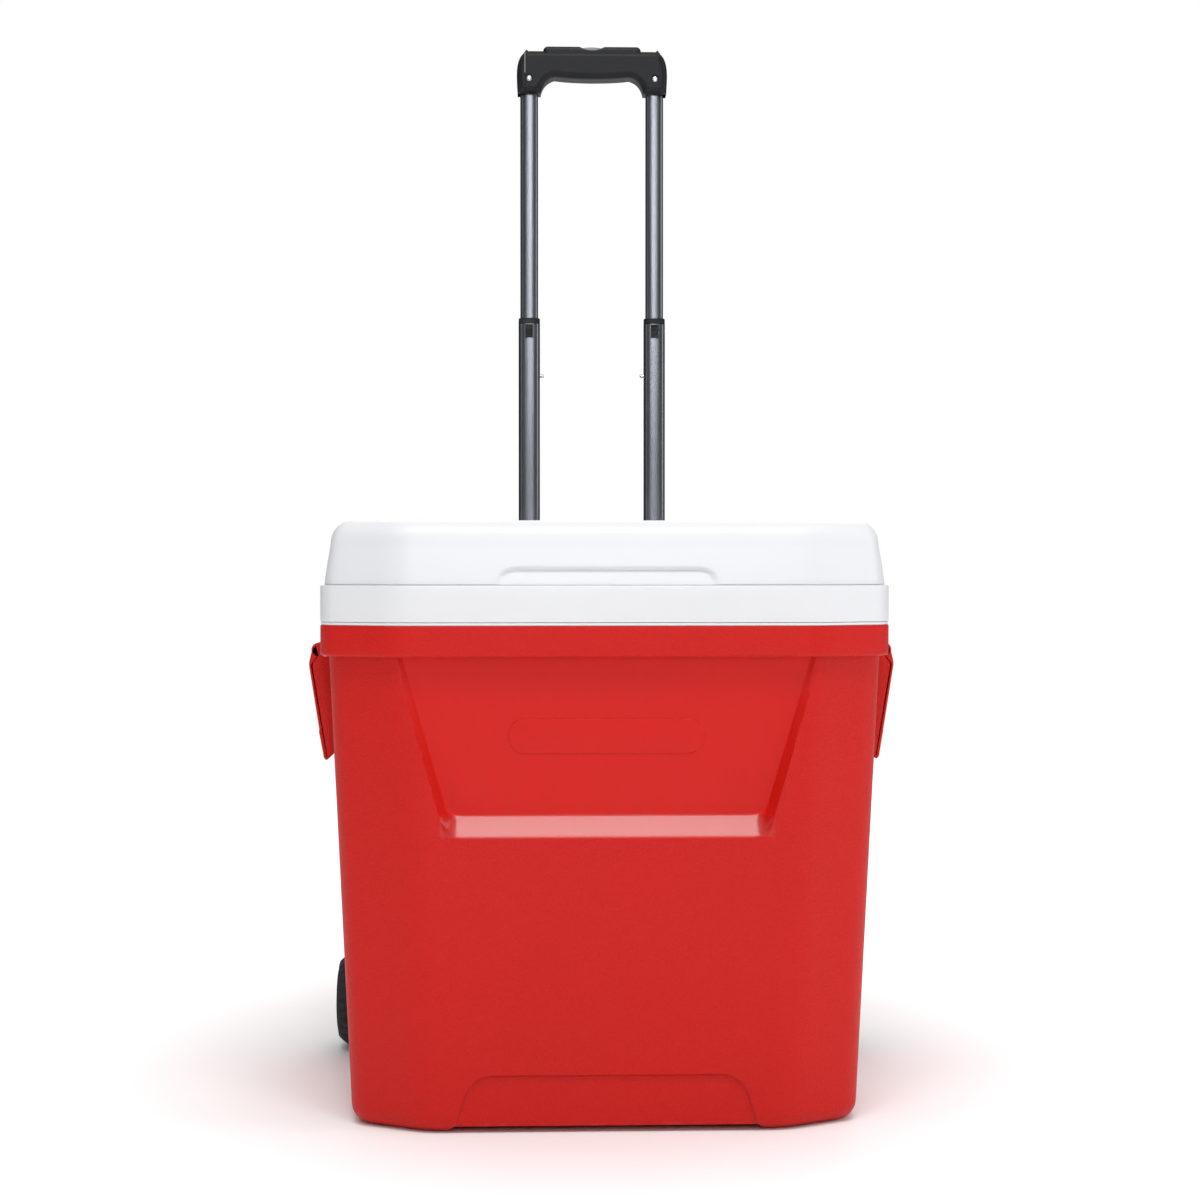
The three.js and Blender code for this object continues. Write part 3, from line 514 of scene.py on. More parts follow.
def rounded_box(x, y, z, radius):
    """A box with every edge rounded."""
    mesh = bmesh.new()
    bmesh.ops.create_cube(mesh, size=1)
    size = Vector((x[1] - x[0], y[1] - y[0], z[1] - z[0]))
    middle = Vector((x[0] + x[1], y[0] + y[1], z[0] + z[1])) / 2
    for vert in mesh.verts:
        vert.co = Vector(a * b for a, b in zip(vert.co, size)) + middle
    if radius:
        bmesh.ops.bevel(mesh, geom=mesh.edges[:], offset=radius, segments=3, profile=0.5, affect="EDGES")
    return harvest(mesh)


def harvest(mesh):
    mesh.verts.ensure_lookup_table()
    form = Form().add([v.co for v in mesh.verts], [[v.index for v in f.verts] for f in mesh.faces])
    mesh.free()
    return form


def rounded_section(width, depth, radius, steps=8):
    """Points of a rounded rectangle, counter-clockwise from its right side."""
    points = []
    for quarter in range(4):
        sx = (1, -1, -1, 1)[quarter]
        sy = (1, 1, -1, -1)[quarter]
        for k in range(steps + 1):
            angle = (quarter + k / steps) * pi / 2
            x = sx * (width / 2 - radius) + radius * cos(angle)
            y = sy * (depth / 2 - radius) + radius * sin(angle)
            points.append((x, y))
    return np.array(points)


def ring_at(section, z):
    return [(x, y, z) for x, y in section]


WIDE_EDGE = 3  # an end whose rounding is wider than this gets a ring of its own inside it
END_RING = 0.4


def prism(outline, low, high, edge, axis="Y", steps=3):
    """An outline extruded between two planes, its end edges rounded by moving each end's points inwards."""
    outline = np.asarray(outline, float)
    before = np.roll(outline, 1, axis=0)
    after = np.roll(outline, -1, axis=0)
    first = (outline - before) / np.maximum(np.linalg.norm(outline - before, axis=1), 1e-9)[:, None]
    second = (after - outline) / np.maximum(np.linalg.norm(after - outline, axis=1), 1e-9)[:, None]
    inwards = np.stack([-(first + second)[:, 1], (first + second)[:, 0]], axis=1)
    inwards /= (1 + (first * second).sum(axis=1)).clip(0.4)[:, None]
    levels = []
    for k in range(steps + 1):
        angle = pi / 2 * k / steps
        levels.append((low + edge * (1 - sin(angle)), edge * (1 - cos(angle))))
    if edge > WIDE_EDGE:
        levels.append((low, edge + END_RING))
    levels = levels[::-1]
    levels += [(low + high - at, inset) for at, inset in levels[::-1]]
    rings = []
    for at, inset in levels:
        flat = outline + inwards * inset
        if axis == "Y":
            rings.append([(u, at, v) for u, v in flat])
        elif axis == "Z":
            rings.append([(u, v, at) for u, v in flat])
        else:
            rings.append([(at, u, v) for u, v in flat])
    form = loft(rings, (False, False))
    last = (len(rings) - 1) * len(outline)
    for a, b, c in end_triangles(outline + inwards * levels[0][1]):
        form.faces.extend([(c, b, a), (last + a, last + b, last + c)])
    return form


def end_triangles(flat):
    """A flat outline, hollow sides and all, cut into triangles that run the way it does."""
    run = np.sign(np.sum(flat[:, 0] * np.roll(flat[:, 1], -1) - flat[:, 1] * np.roll(flat[:, 0], -1)))
    triangles = []
    for a, b, c in tessellate_polygon([[Vector((u, v, 0)) for u, v in flat]]):
        (au, av), (bu, bv), (cu, cv) = flat[a], flat[b], flat[c]
        turn = (bu - au) * (cv - av) - (bv - av) * (cu - au)
        triangles.append((a, b, c) if turn * run > 0 else (a, c, b))
    return triangles


def rounded_outline(corners, radii, steps=6):
    """A counter-clockwise outline with an arc at each corner."""
    corners = [Vector(c) for c in corners]
    points = []
    for i, corner in enumerate(corners):
        first = (corner - corners[i - 1]).normalized()
        second = (corners[(i + 1) % len(corners)] - corner).normalized()
        turn = atan2(first.x * second.y - first.y * second.x, first.dot(second))
        room = min((corner - corners[i - 1]).length, (corners[(i + 1) % len(corners)] - corner).length) * 0.49
        back = min(abs(radii[i] * tan(turn / 2)), room)
        start, end = corner - first * back, corner + second * back
        for k in range(steps + 1):
            t = k / steps
            points.append(tuple(start * (1 - t) ** 2 + corner * (2 * t * (1 - t)) + end * t**2))
    return points


def curve(start, control, end):
    """Points along a quadratic curve, without its start."""
    steps = 8
    points = []
    for t in [(k + 1) / steps for k in range(steps)]:
        near, far = (1 - t) ** 2, t**2
        points.append(tuple(a * near + 2 * b * t * (1 - t) + c * far for a, b, c in zip(start, control, end)))
    return points


def round_under(low, inset, radius, steps):
    """(height, inset) up a rounded lower edge, from the flat underside to the upright side."""
    turns = np.linspace(0, pi / 2, steps)
    return [(low + radius * (1 - cos(a)), inset + radius * (1 - sin(a))) for a in turns]


def round_over(high, radius, steps):
    """(height, inset) up a rounded upper edge, from the upright side to the flat top."""
    turns = np.linspace(0, pi / 2, steps)
    return [(high - radius * (1 - sin(a)), radius * (1 - cos(a))) for a in turns]


def spread(base, first, steps):
    """Rings that grow from the middle of a flat end towards its outline, which they stop short of."""
    middle = base.mean(axis=0)
    return [middle + (base - middle) * share for share in np.linspace(first, 1, steps)[:-1]]


def sleeve(outer, inner, low, high, edge=0.4):
    """A tube between two sections of equally many points, its end edges broken."""
    middle = outer.mean(axis=0)
    small = middle + (outer - middle) * (1 - edge / np.abs(outer - middle).max(axis=0))
    rings = [
        ring_at(small, low),
        ring_at(outer, low + edge),
        ring_at(outer, high - edge),
        ring_at(small, high),
        ring_at(inner, high),
        ring_at(inner, low),
    ]
    return loft(rings, loop=True)


def tube_section(tube, grow=0.0, steps=8):
    """A tube's oval section: flat sides with a slight crown, and full round corners."""
    width, depth, bulge = tube[:3]
    turn = np.linspace(0, 2 * pi, 4 * (steps + 1) + 1)[:-1]
    c, s = np.cos(turn), np.sin(turn)
    x = np.sign(c) * np.abs(c) ** (2 / bulge) * (width / 2 + grow)
    y = np.sign(s) * np.abs(s) ** (2 / bulge) * (depth / 2 + grow)
    return np.column_stack([x + TUBE_X, y + TUBE_Y])


def pin(radius, low, high, axis="X", edge=0.6, sides=32):
    """A round bar with both end edges broken."""
    profile = [(0, low), (radius - edge, low), (radius, low + edge)]
    profile += [(radius, high - edge), (radius - edge, high), (0, high)]
    return lathe(profile, sides, axis)


def drill(radius, low, high, axis, sides=40):
    """A plain round bar that cuts a bore."""
    return lathe([(0, low), (radius, low), (radius, high), (0, high)], sides, axis)


def screw_form(radius, length):
    """A pan-head screw along Y, its head's underside at Y 0 and its shank behind it, with a cross recess."""
    profile = [(0, -length), (1.2, -length), (1.9, 1.5 - length), (1.9, 0), (radius, 0), (radius, 0.6)]
    profile += [(radius * 0.93, 1.2), (radius * 0.72, 1.7), (radius * 0.4, 1.95), (0, 2.0)]
    long, narrow, deep = (-2.1, 2.1), (-0.42, 0.42), (1.0, 3)
    arms = [rounded_box(long, deep, narrow, 0), rounded_box(narrow, deep, long, 0)]
    return carved(lathe(profile, 32, "Y"), *arms)


# ---- The chest's outline ----


def fillet_corners(corners, radii, inset):
    """The arc at each corner of an outline that is moved in by an inset, as (start, centre, turn)."""
    count = len(corners)
    units = []
    for i in range(count):
        (x0, y0), (x1, y1) = corners[i], corners[(i + 1) % count]
        length = sqrt((x1 - x0) ** 2 + (y1 - y0) ** 2)
        units.append(((x1 - x0) / length, (y1 - y0) / length))
    arcs = []
    for i, (x, y) in enumerate(corners):
        first, second = units[i - 1], units[i]
        scale = inset / (1 + first[0] * second[0] + first[1] * second[1])
        x -= (first[1] + second[1]) * scale
        y += (first[0] + second[0]) * scale
        turn = atan2(first[0] * second[1] - first[1] * second[0], first[0] * second[0] + first[1] * second[1])
        radius = max(radii[i] - inset, 3)
        back = radius * tan(turn / 2)
        start = (x - first[0] * back, y - first[1] * back)
        centre = (start[0] - first[1] * radius, start[1] + first[0] * radius)
        arcs.append((start, centre, turn))
    return arcs


FINE = {"arcs": (10, 8, 16), "facet": 14, "side": (12, 20), "rear": 28, "front": 120}
PLAIN = {"arcs": (8, 8, 12), "facet": 2, "side": (4, 0), "rear": 6, "front": 12}


def footprint(half, front, rear, inset=0.0, count=PLAIN):
    """The outline of chest, rim and lid, from the right end of the front face round to its left end."""
    right = [(half - FACET_WIDTH, front), (half, front + FACET_DEPTH), (half, rear)]
    corners = right + [(-x, y) for x, y in reversed(right)]
    arcs = fillet_corners(corners, CORNER_RADII + CORNER_RADII[::-1], inset)
    coarse, dense = count["side"]
    side = list(np.linspace(0, 0.66 if dense else 1, coarse + 1))
    side += list(np.linspace(0.66, 1, dense + 1))[1:] if dense else []
    flats = [
        np.linspace(0, 1, count["facet"] + 1),
        np.array(side),
        np.linspace(0, 1, count["rear"] + 1),
        1 - np.array(side)[::-1],
        np.linspace(0, 1, count["facet"] + 1),
        np.linspace(0, 1, count["front"] + 1),
    ]
    steps = count["arcs"] + count["arcs"][::-1]
    drawn = []
    for (start, (cx, cy), turn), step in zip(arcs, steps):
        dx, dy = start[0] - cx, start[1] - cy
        turns = [(cos(turn * k / step), sin(turn * k / step)) for k in range(step + 1)]
        drawn.append([(cx + dx * c - dy * s, cy + dx * s + dy * c) for c, s in turns])
    points = []
    for i, arc in enumerate(drawn):
        points.extend(arc)
        (x0, y0), (x1, y1) = arc[-1], drawn[(i + 1) % len(drawn)][0]
        points.extend((x0 + (x1 - x0) * t, y0 + (y1 - y0) * t) for t in flats[i][1:-1])
    return np.array(points)


def at_height(outline, z):
    return np.column_stack([outline, np.full(len(outline), float(z))])


def taper(ends, z):
    return ends[0] + (ends[1] - ends[0]) * z / CHEST_TOP


def chest_ring(z, inset=0.0, count=FINE):
    half, front, rear = (taper(ends, z) for ends in (CHEST_HALF, CHEST_FRONT, CHEST_REAR))
    return at_height(footprint(half, front, rear, inset, count), z)


def rim_ring(z, inset=0.0, count=FINE):
    return at_height(footprint(RIM_HALF, RIM_FRONT, RIM_REAR, inset, count), z)


def front_columns(z, end):
    """Where the columns of the front stand: close together along both side edges of the recess."""
    outer = RECESS_HALF - (CHEST_TOP - np.clip(z, LEDGE_LOW, CHEST_TOP)) * RECESS_LEAN
    inner = outer - RECESS_WALL
    half = np.concatenate(
        [
            np.linspace(0, inner - 1.4, 54)[1:],
            [inner - 0.5, inner, inner + 3.5, outer, outer + 0.5],
            np.linspace(outer + 1.4, end, 20),
        ]
    )
    return np.concatenate([-half[::-1], [0], half])


def with_columns(ring, level):
    """A ring whose front is redrawn through the columns that stand at a level."""
    last = FINE["arcs"][0] + FINE["facet"]
    first = len(ring) - (FINE["front"] - 1) - last - 1
    front = np.concatenate([ring[first:], ring[: last + 1]])
    x = front_columns(level, front[-1, 0])
    redrawn = np.column_stack([x, np.interp(x, front[:, 0], front[:, 1]), np.full(len(x), ring[0, 2])])
    return np.concatenate([redrawn, ring[last + 1 : first]])


def shell_row(z, inset=0.0):
    """The chest's outline, with the recess's columns in its front."""
    return with_columns(chest_ring(z, inset), z)


def rim_row(z, inset=0.0):
    """The rim's outline, with the columns of the chest's top."""
    return with_columns(rim_ring(z, inset), CHEST_TOP)


def smoothstep(value, low, high):
    t = np.clip((value - low) / (high - low), 0, 1)
    return t * t * (3 - 2 * t)


def smooth_max(a, b, width):
    return 0.5 * (a + b + np.sqrt((a - b) ** 2 + width**2) - width * np.exp(-np.abs(a - b) / width))


def corner_distance(side, bottom, radius):
    """Distance inside an outline with a rounded lower corner, from the distances to its two edges."""
    near = np.minimum(side, bottom)
    du, dv = np.maximum(radius - side, 0), np.maximum(radius - bottom, 0)
    return np.where((side < radius) & (bottom < radius), radius - np.hypot(du, dv), near)


def soft_ramp(t):
    """0 to 1, straight in the middle and rounded at both ends."""
    soft = 0.05
    t = np.clip(t, -soft, 1 + soft)
    low = np.where(t < soft, (t + soft) ** 2 / (4 * soft), t)
    return np.where(t > 1 - soft, 1 - (1 + soft - t) ** 2 / (4 * soft), low)


def recess_floor(z):
    """How far the recess's floor lies behind the front face: deepest over the ledge."""
    return RECESS_DEEP + (RECESS_SHALLOW - RECESS_DEEP) * (z - LEDGE_HIGH) / (CHEST_TOP - LEDGE_HIGH)


def recess_depth(x, z):
    """Depth of the front recess behind the front face: sloping side walls, and a ledge along the bottom."""
    lean = (CHEST_TOP - z) * RECESS_LEAN
    cosine = cos(atan2(RECESS_LEAN, 1))
    outer = corner_distance((RECESS_HALF - lean - np.abs(x)) * cosine, z - LEDGE_LOW, 14)
    inner = corner_distance((RECESS_HALF - RECESS_WALL - lean - np.abs(x)) * cosine, z - LEDGE_HIGH, 7)
    share = outer / np.maximum(outer - inner, 1e-6)
    return soft_ramp(np.where(inner > 3, 1.2, np.where(outer < -3, -0.2, share))) * recess_floor(z)


def panel_depth(x, z):
    """Depth of the low panel behind the front face, inside a narrow sloping border."""
    side = PANEL_HALF - z * PANEL_LEAN - np.abs(x)
    inside = corner_distance(side, PANEL_TOP - z, PANEL_CORNER)
    return PANEL_DEPTH * smoothstep(inside, -0.4, 1.8)


def underside_height(x, y):
    """How far the underside stands off the ground: feet, arch, raised rear and the bevel for tipping."""
    arch = 5 * smoothstep(-np.abs(x), -137, -130)
    rear = 7 * smoothstep(y, 36, 46)
    bevel = 8 + (y - 150) * (40 / 39)
    return smooth_max(np.maximum(arch, rear), np.where(y > 130, bevel, -20.0), 2.0)


def dent_chest(points):
    """Presses the recess, panel, wheel wells and underside into the chest's plain outer skin."""
    x, y, z = points.T.copy()
    face = taper(CHEST_FRONT, z)
    front = y < face + FACET_DEPTH + 20
    depth = recess_depth(x, z) * (z < CHEST_TOP + 0.5)
    y = np.where(front & (depth > 0.02), smooth_max(y, face + depth, 0.35), y)
    y = np.where(front, smooth_max(y, face + panel_depth(x, z), 0.3), y)
    reach = np.hypot(y - WHEEL_Y, z - WHEEL_RADIUS)
    along = np.abs(y - WHEEL_Y)
    below = (z < WHEEL_RADIUS) & (along < 57.5)
    inside = np.maximum(1 - smoothstep(reach, *WELL_EDGE), below * (1 - smoothstep(along, *WELL_EDGE)))
    over = np.maximum(np.abs(x) - WELL_WALL_X, 0)
    x = np.sign(x) * (np.abs(x) - over * inside)
    z = np.where(z < 60, np.maximum(z, underside_height(x, y)), z)
    return np.column_stack([x, y, z])


# ---- Making pieces ----


WELD = 0.01


def to_object(name, form):
    """A form as an object in metres, welded, its faces turned outwards."""
    mesh = bpy.data.meshes.new(name)
    mesh.from_pydata([tuple(c * MM for c in p) for p in form.points], [], form.faces)
    work = bmesh.new()
    work.from_mesh(mesh)
    bmesh.ops.remove_doubles(work, verts=work.verts[:], dist=WELD * MM)
    bmesh.ops.dissolve_degenerate(work, edges=work.edges[:], dist=WELD * MM / 2)
    bmesh.ops.recalc_face_normals(work, faces=work.faces[:])
    work.to_mesh(mesh)
    work.free()
    piece = bpy.data.objects.new(name, mesh)
    bpy.context.scene.collection.objects.link(piece)
    return piece


def shade(mesh, sharp):
    for polygon in mesh.polygons:
        polygon.use_smooth = True
    mesh.set_sharp_from_angle(angle=radians(sharp))


def with_modifiers(piece):
    """The piece's mesh with its modifiers applied."""
    bpy.context.view_layer.update()
    return bpy.data.meshes.new_from_object(piece.evaluated_get(bpy.context.evaluated_depsgraph_get()))


def make(name, form, look, body, sharp=32):
    """One finished piece on a body."""
    piece = to_object(name, form)
    shade(piece.data, sharp)
    piece.data.materials.append(finish(look))
    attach(piece, body)
    return piece


def stand_in(node, form, look, sharp=32):
    """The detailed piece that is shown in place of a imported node."""
    piece = make(f"{node}_model", form, look, frame["nodes"][node]["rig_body"], sharp)
    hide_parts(node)
    return piece


def stand_in_pair(name, form, look, sharp=32):
    for side, sign in SIDES:
        stand_in(f"{name}_{side}", form.sided(sign), look, sharp)


def to_form(mesh):
    points = [tuple(c / MM for c in v.co) for v in mesh.vertices]
    return Form().add(points, [tuple(p.vertices) for p in mesh.polygons])


def carved(form, *tools):
    """A closed form less other closed forms."""
    base = to_object("base", form)
    cutters = [to_object("cutter", tool) for tool in tools]
    for cutter in cutters:
        modifier = base.modifiers.new("cut", "BOOLEAN")
        modifier.operation = "DIFFERENCE"
        modifier.solver = "EXACT"
        modifier.object = cutter
    result = to_form(with_modifiers(base))
    for spare in (base, *cutters):
        bpy.data.objects.remove(spare)
    return result


def sliced(form, axis, low, high):
    """The part of a closed form between two planes across an axis."""
    span = {a: (-2000, 2000) for a in range(3)}
    span[axis] = (low, high)
    work = bmesh.new()
    verts = [work.verts.new(p) for p in form.points]
    for face in form.faces:
        work.faces.new([verts[i] for i in face])
    for at, outward in ((low, -1), (high, 1)):
        normal = Vector([outward if a == axis else 0 for a in range(3)])
        everything = work.verts[:] + work.edges[:] + work.faces[:]
        place = Vector([at if a == axis else 0 for a in range(3)])
        cut = bmesh.ops.bisect_plane(work, geom=everything, plane_co=place, plane_no=normal, clear_outer=True)
        edges = [g for g in cut["geom_cut"] if isinstance(g, bmesh.types.BMEdge)]
        bmesh.ops.triangle_fill(work, edges=edges, use_beauty=True)
    work.verts.index_update()
    return harvest(work)


def dress(look, *nodes):
    """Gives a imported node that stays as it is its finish."""
    for node in nodes:
        for slot in frame["nodes"][node].material_slots:
            slot.material = finish(look)


class Maker:
    """What every operator here shares."""

    bl_options = {"REGISTER", "UNDO"}

    def execute(self, context):
        self.build()
        return {"FINISHED"}


# ---- Chest ----


FOOT_ROUNDING = 15


def chest_rows():
    """(height, inset) of each row up the chest's wall, closest where there is something to show."""
    spans = [(15, 44, 14), (44, 54, 14), (54, 110, 16), (110, 250, 14), (250, 253, 2), (253, 255.4, 4)]
    spans += [(255.4, 271.6, 12), (271.6, 274.4, 5), (274.4, 290, 8), (290, CHEST_TOP, 34)]
    rows = round_under(0, 0, FOOT_ROUNDING, 8)
    for low, high, steps in spans:
        rows += [(z, 0.0) for z in np.linspace(low, high, steps + 1)[1:]]
    return rows


class COOLER_OT_chest(Maker, bpy.types.Operator):
    """Red outer shell of the chest, with its rim, recess, panel, feet and wheel wells"""

    bl_idname = "cooler.chest"
    bl_label = "Chest Shell"

    def build(self):
        rings = spread(shell_row(0, FOOT_ROUNDING), 0.03, 26)
        rings += [shell_row(z, inset) for z, inset in chest_rows()]
        wall = np.array([dent_chest(ring) for ring in rings])
        lip = [rim_row(z, inset) for z, inset in round_under(CHEST_TOP, 0, 2.5, 5)]
        step = [wall[-1] * (1 - t) + lip[0] * t for t in (0.08, 0.92)]
        top = [rim_row(z, inset) for z, inset in round_over(RIM_TOP, 0.8, 4)]
        sides = [rim_row(z) for z in (417, 425, 431)]
        skin = loft([*wall, *step, *lip, *sides, *top, rim_row(RIM_TOP, 2.9)], (True, False))
        thin = to_object("skin", skin)
        thick = thin.modifiers.new("wall", "SOLIDIFY")
        thick.thickness = WALL * MM
        thick.offset = -1
        shell = to_form(with_modifiers(thin))
        bpy.data.objects.remove(thin)
        stand_in("chest_shell", shell, "red", 38)
        lugs = Form()
        for low in (BAIL_Y[0] + 21, BAIL_Y[1] - 33):
            high = low + 12
            lug = pin(6.5, low, high, "Y", 0.9).move(PIVOT_X, 0, PIVOT_Z)
            web = rounded_box((245, PIVOT_X), (low, high), (PIVOT_Z - 1.5, PIVOT_Z + 6.5), 0.7)
            lugs.join(lug, web)
        make("handle_lugs", Form().join(lugs, lugs.mirror()), "red", "chest")
        self.blank_plate()

    def blank_plate(self):
        """A plain raised pad in the recess, moulded with the shell."""
        half, tall, middle = 84.0, 15.0, 341.0
        outline = rounded_section(2 * half, 2 * tall, tall - 0.5, 12)
        rings = []
        for rise, inset in ((-1.0, 0.0), (0.35, 0.0), (0.75, 0.35), (0.9, 1.0)):
            flat = outline * [(half - inset) / half, (tall - inset) / tall]
            z = flat[:, 1] + middle
            rings.append(np.column_stack([flat[:, 0], taper(CHEST_FRONT, z) + recess_floor(z) - rise, z]))
        make("blank_plate", loft(rings), "red", "chest")


LINER_FLANGE = ((435.8, 20), (435.8, 0.8), (436.2, 0.5), (437.9, 0.5), (438.3, 0.9), (438.3, 20))


class COOLER_OT_liner(Maker, bpy.types.Operator):
    """White liner inside the chest, its flange resting on the rim"""

    bl_idname = "cooler.liner"
    bl_label = "Liner"

    def build(self):
        count = {"arcs": (8, 8, 12), "facet": 4, "side": (10, 22), "rear": 20, "front": 20}
        outer, inner = INSULATION, INSULATION + LINER_WALL

        def tub(inset, floor, step_y, step_z, radius, top):
            """One skin of the liner, from the middle of its stepped floor up to its mouth."""
            rings = spread(chest_ring(floor, inset + radius, count), 0.04, 20)
            rings += [chest_ring(z, edge, count) for z, edge in round_under(floor, inset, radius, 7)]
            rings += [chest_ring(z, inset, count) for z in np.linspace(floor + radius, top, 22)[1:]]
            for ring in rings:
                rise = floor + (step_z - floor) * smoothstep(ring[:, 1], step_y - 3, step_y + 5)
                ring[:, 2] = np.maximum(ring[:, 2], rise)
            return rings

        outside = tub(outer, 38.0, 86, 76.0, 8.0, 433.0)
        inside = tub(inner, 40.5, 83, 78.5, 6.0, 436.5)
        flange = [chest_ring(435.0, outer - 0.8, count)]
        flange += [rim_ring(z, inset, count) for z, inset in LINER_FLANGE]
        flange += [chest_ring(438.2, inner - 1.6, count), chest_ring(437.6, inner - 0.5, count)]
        skin = loft([*outside, *flange, *inside[::-1]])
        bore = drill(7.9, 170, 205, "X", 32).move(0, DRAIN_Y, DRAIN_Z)
        stand_in("chest_liner", carved(skin, bore), "liner")


# ---- Lid ----

# (height, inset) up the crown's side, to where its top starts to round over.
LID_RINGS = ((470.3, 3.5), (488, 6.0), (505, 9.0))
CROWN_LOW, CROWN_TOP = 470.3, 525.5
BAND_LOW, BAND_TOP = 438.6, 470
PLUG_LOW = 426.6
PLUG = (200.5, -192, 155.5)
SCOOP_HALF, SCOOP_TOP, SCOOP_TALL = 93.5, 485.5, 15.2


def scoop_depth(x, z):
    """1 inside the finger scoop, and how far back it lies there: deepest under its top edge."""
    inside = corner_distance(SCOOP_HALF - np.abs(x), SCOOP_TOP - z, 15)
    slope = 1 + 6 * (z - CROWN_LOW) / SCOOP_TALL
    return smoothstep(inside, -0.3, 2.2), slope


class COOLER_OT_lid(Maker, bpy.types.Operator):
    """White lid: the lower band with its plug, and the upper shell with the finger scoop"""

    bl_idname = "cooler.lid"
    bl_label = "Lid"

    def build(self):
        self.band()
        self.crown()

    def band(self):
        count = dict(PLAIN, facet=4, side=(6, 0), front=16)
        plug = [(PLUG_LOW, 24), (PLUG_LOW, 4.2), *round_under(PLUG_LOW, 1.2, 3, 6)[1:]]
        plug += [(432, 0.8), (436.6, 0), (437.9, -0.5), (BAND_LOW, -1.6)]
        band = [(BAND_LOW, 12), (BAND_LOW, 3), *round_under(BAND_LOW, 0, 0.7, 5)]
        band += [(446, 0), (454, 0), (462, 0), *round_over(BAND_TOP, 1.2, 5), (BAND_TOP, 3.5), (BAND_TOP, 12)]
        rings = [at_height(footprint(*PLUG, inset, count), z) for z, inset in plug]
        rings += [rim_ring(z, inset, count) for z, inset in band]
        stand_in("lid_base", loft(rings), "white")

    def crown(self):
        count = dict(FINE, facet=6, side=(12, 0), rear=16, front=130, arcs=(8, 8, 12))
        heights = [CROWN_LOW, 470.9, *np.linspace(471.6, 487.2, 16), *np.linspace(489, 512, 9)]
        heights += [*np.linspace(513.5, CROWN_TOP, 11)]
        known = np.array(LID_RINGS)
        shoulder, shoulder_inset = LID_RINGS[-1]
        rings = []
        for z in heights:
            inset = float(np.interp(z, known[:, 0], known[:, 1]))
            if z > shoulder:
                t = (z - shoulder) / (CROWN_TOP - shoulder)
                inset = shoulder_inset + 18 * (1 - sqrt(max(0.0, 1 - t**2.1)))
            if z == CROWN_LOW:
                inset += 0.5
            ring = rim_ring(z, inset, count)
            x, y = ring[:, 0], ring[:, 1]
            inside, slope = scoop_depth(x, z)
            target = RIM_FRONT + 3 + slope
            front = y < RIM_FRONT + 12
            ring[:, 1] = np.where(front & (target > y), y + (target - y) * inside, y)
            rings.append(ring)
        top = [rim_ring(CROWN_TOP, inset, count) for inset in (32, 48, 80)]
        stand_in("lid_top", loft([rim_ring(CROWN_LOW, 14, count), *rings, *top]), "white", 40)


# ---- Hinges and screws ----

# The (height, Y) of each hinge screw's head, and each bracket's (bottom, top, back plane, screw height).
HINGE_SCREWS = {"lower": (422, HINGE_Y + 0.3), "upper": (490, 203.6)}
BRACKETS = {"top": (405, 434, 202.3, 420), "bottom": (96, 130, 187.2, 113)}
BRACKET_SCREW_X = 25
GRIP_SCREW_Z = 1000


class COOLER_OT_hinges(Maker, bpy.types.Operator):
    """White hinge leaves and their steel pins behind the rim"""

    bl_idname = "cooler.hinges"
    bl_label = "Hinges"

    def build(self):
        back = (202.3, HINGE_Y)
        arms = ((136.7, 145.7), (164.3, 173.3))
        lower = rounded_box((136.7, 173.3), back, (411, 434), 1.2)
        for low, high in arms:
            lower.join(rounded_box((low, high), back, (430, HINGE_Z), 1.0))
            lower.join(rounded_box((low + 3, high - 3), (HINGE_Y - 1, HINGE_Y + 1.6), (428, HINGE_Z), 0.7))
            lower.join(self.barrel(5, low, high).move(0, HINGE_Y + 0.5, HINGE_Z))
        lower.join(rounded_box((141, 169), (HINGE_Y - 1, HINGE_Y + 0.2), (428, 432), 0.5))
        stand_in_pair("hinge_lower", lower, "white")
        corners = [(195.5, 478), (203, 478), (203.5, 496), (209, 514), (204, 521), (190.5, 508)]
        tongue = prism(rounded_outline(corners, (1, 1, 6, 3, 3, 5)), 147, 163, 0.8, "X")
        tongue.join(self.barrel(4.5, 147, 163).move(0, HINGE_Y, HINGE_Z))
        for x in (150, 160):
            tongue.join(rounded_box((x - 0.8, x + 0.8), (201, 204.4), (481, 499), 0.6))
        stand_in_pair("hinge_upper", tongue, "white")
        stand_in_pair("hinge_pin", pin(2.5, 135, 175).move(0, HINGE_Y, HINGE_Z), "steel")

    def barrel(self, radius, low, high):
        """A hinge knuckle, bored for the pin."""
        bore, edge = 2.8, 0.7
        profile = [(bore, low), (radius - edge, low), (radius, low + edge), (radius, high - edge)]
        return lathe([*profile, (radius - edge, high), (bore, high), (bore, low)], 40, "X")


class COOLER_OT_screws(Maker, bpy.types.Operator):
    """Cross-recessed screws in the hinges, brackets and grip"""

    bl_idname = "cooler.screws"
    bl_label = "Screws"

    def build(self):
        screw = screw_form(3.6, 11)
        for leaf, (z, y) in HINGE_SCREWS.items():
            stand_in_pair(f"hinge_screw_{leaf}", Form().join(screw).move(HINGE_X, y, z), "steel")
        for end, (*_, back, z) in BRACKETS.items():
            placed = Form().join(screw).move(BRACKET_SCREW_X, back + 5.3, z)
            stand_in_pair(f"{end}_bracket_screw", placed, "steel")
        small = screw_form(3.3, 12)
        turned = Form().add([(x, -y, -z) for x, y, z in small.points], small.faces)
        stand_in_pair("grip_screw", turned.move(TUBE_X, 210.1, GRIP_SCREW_Z), "steel")


# ---- Drain ----


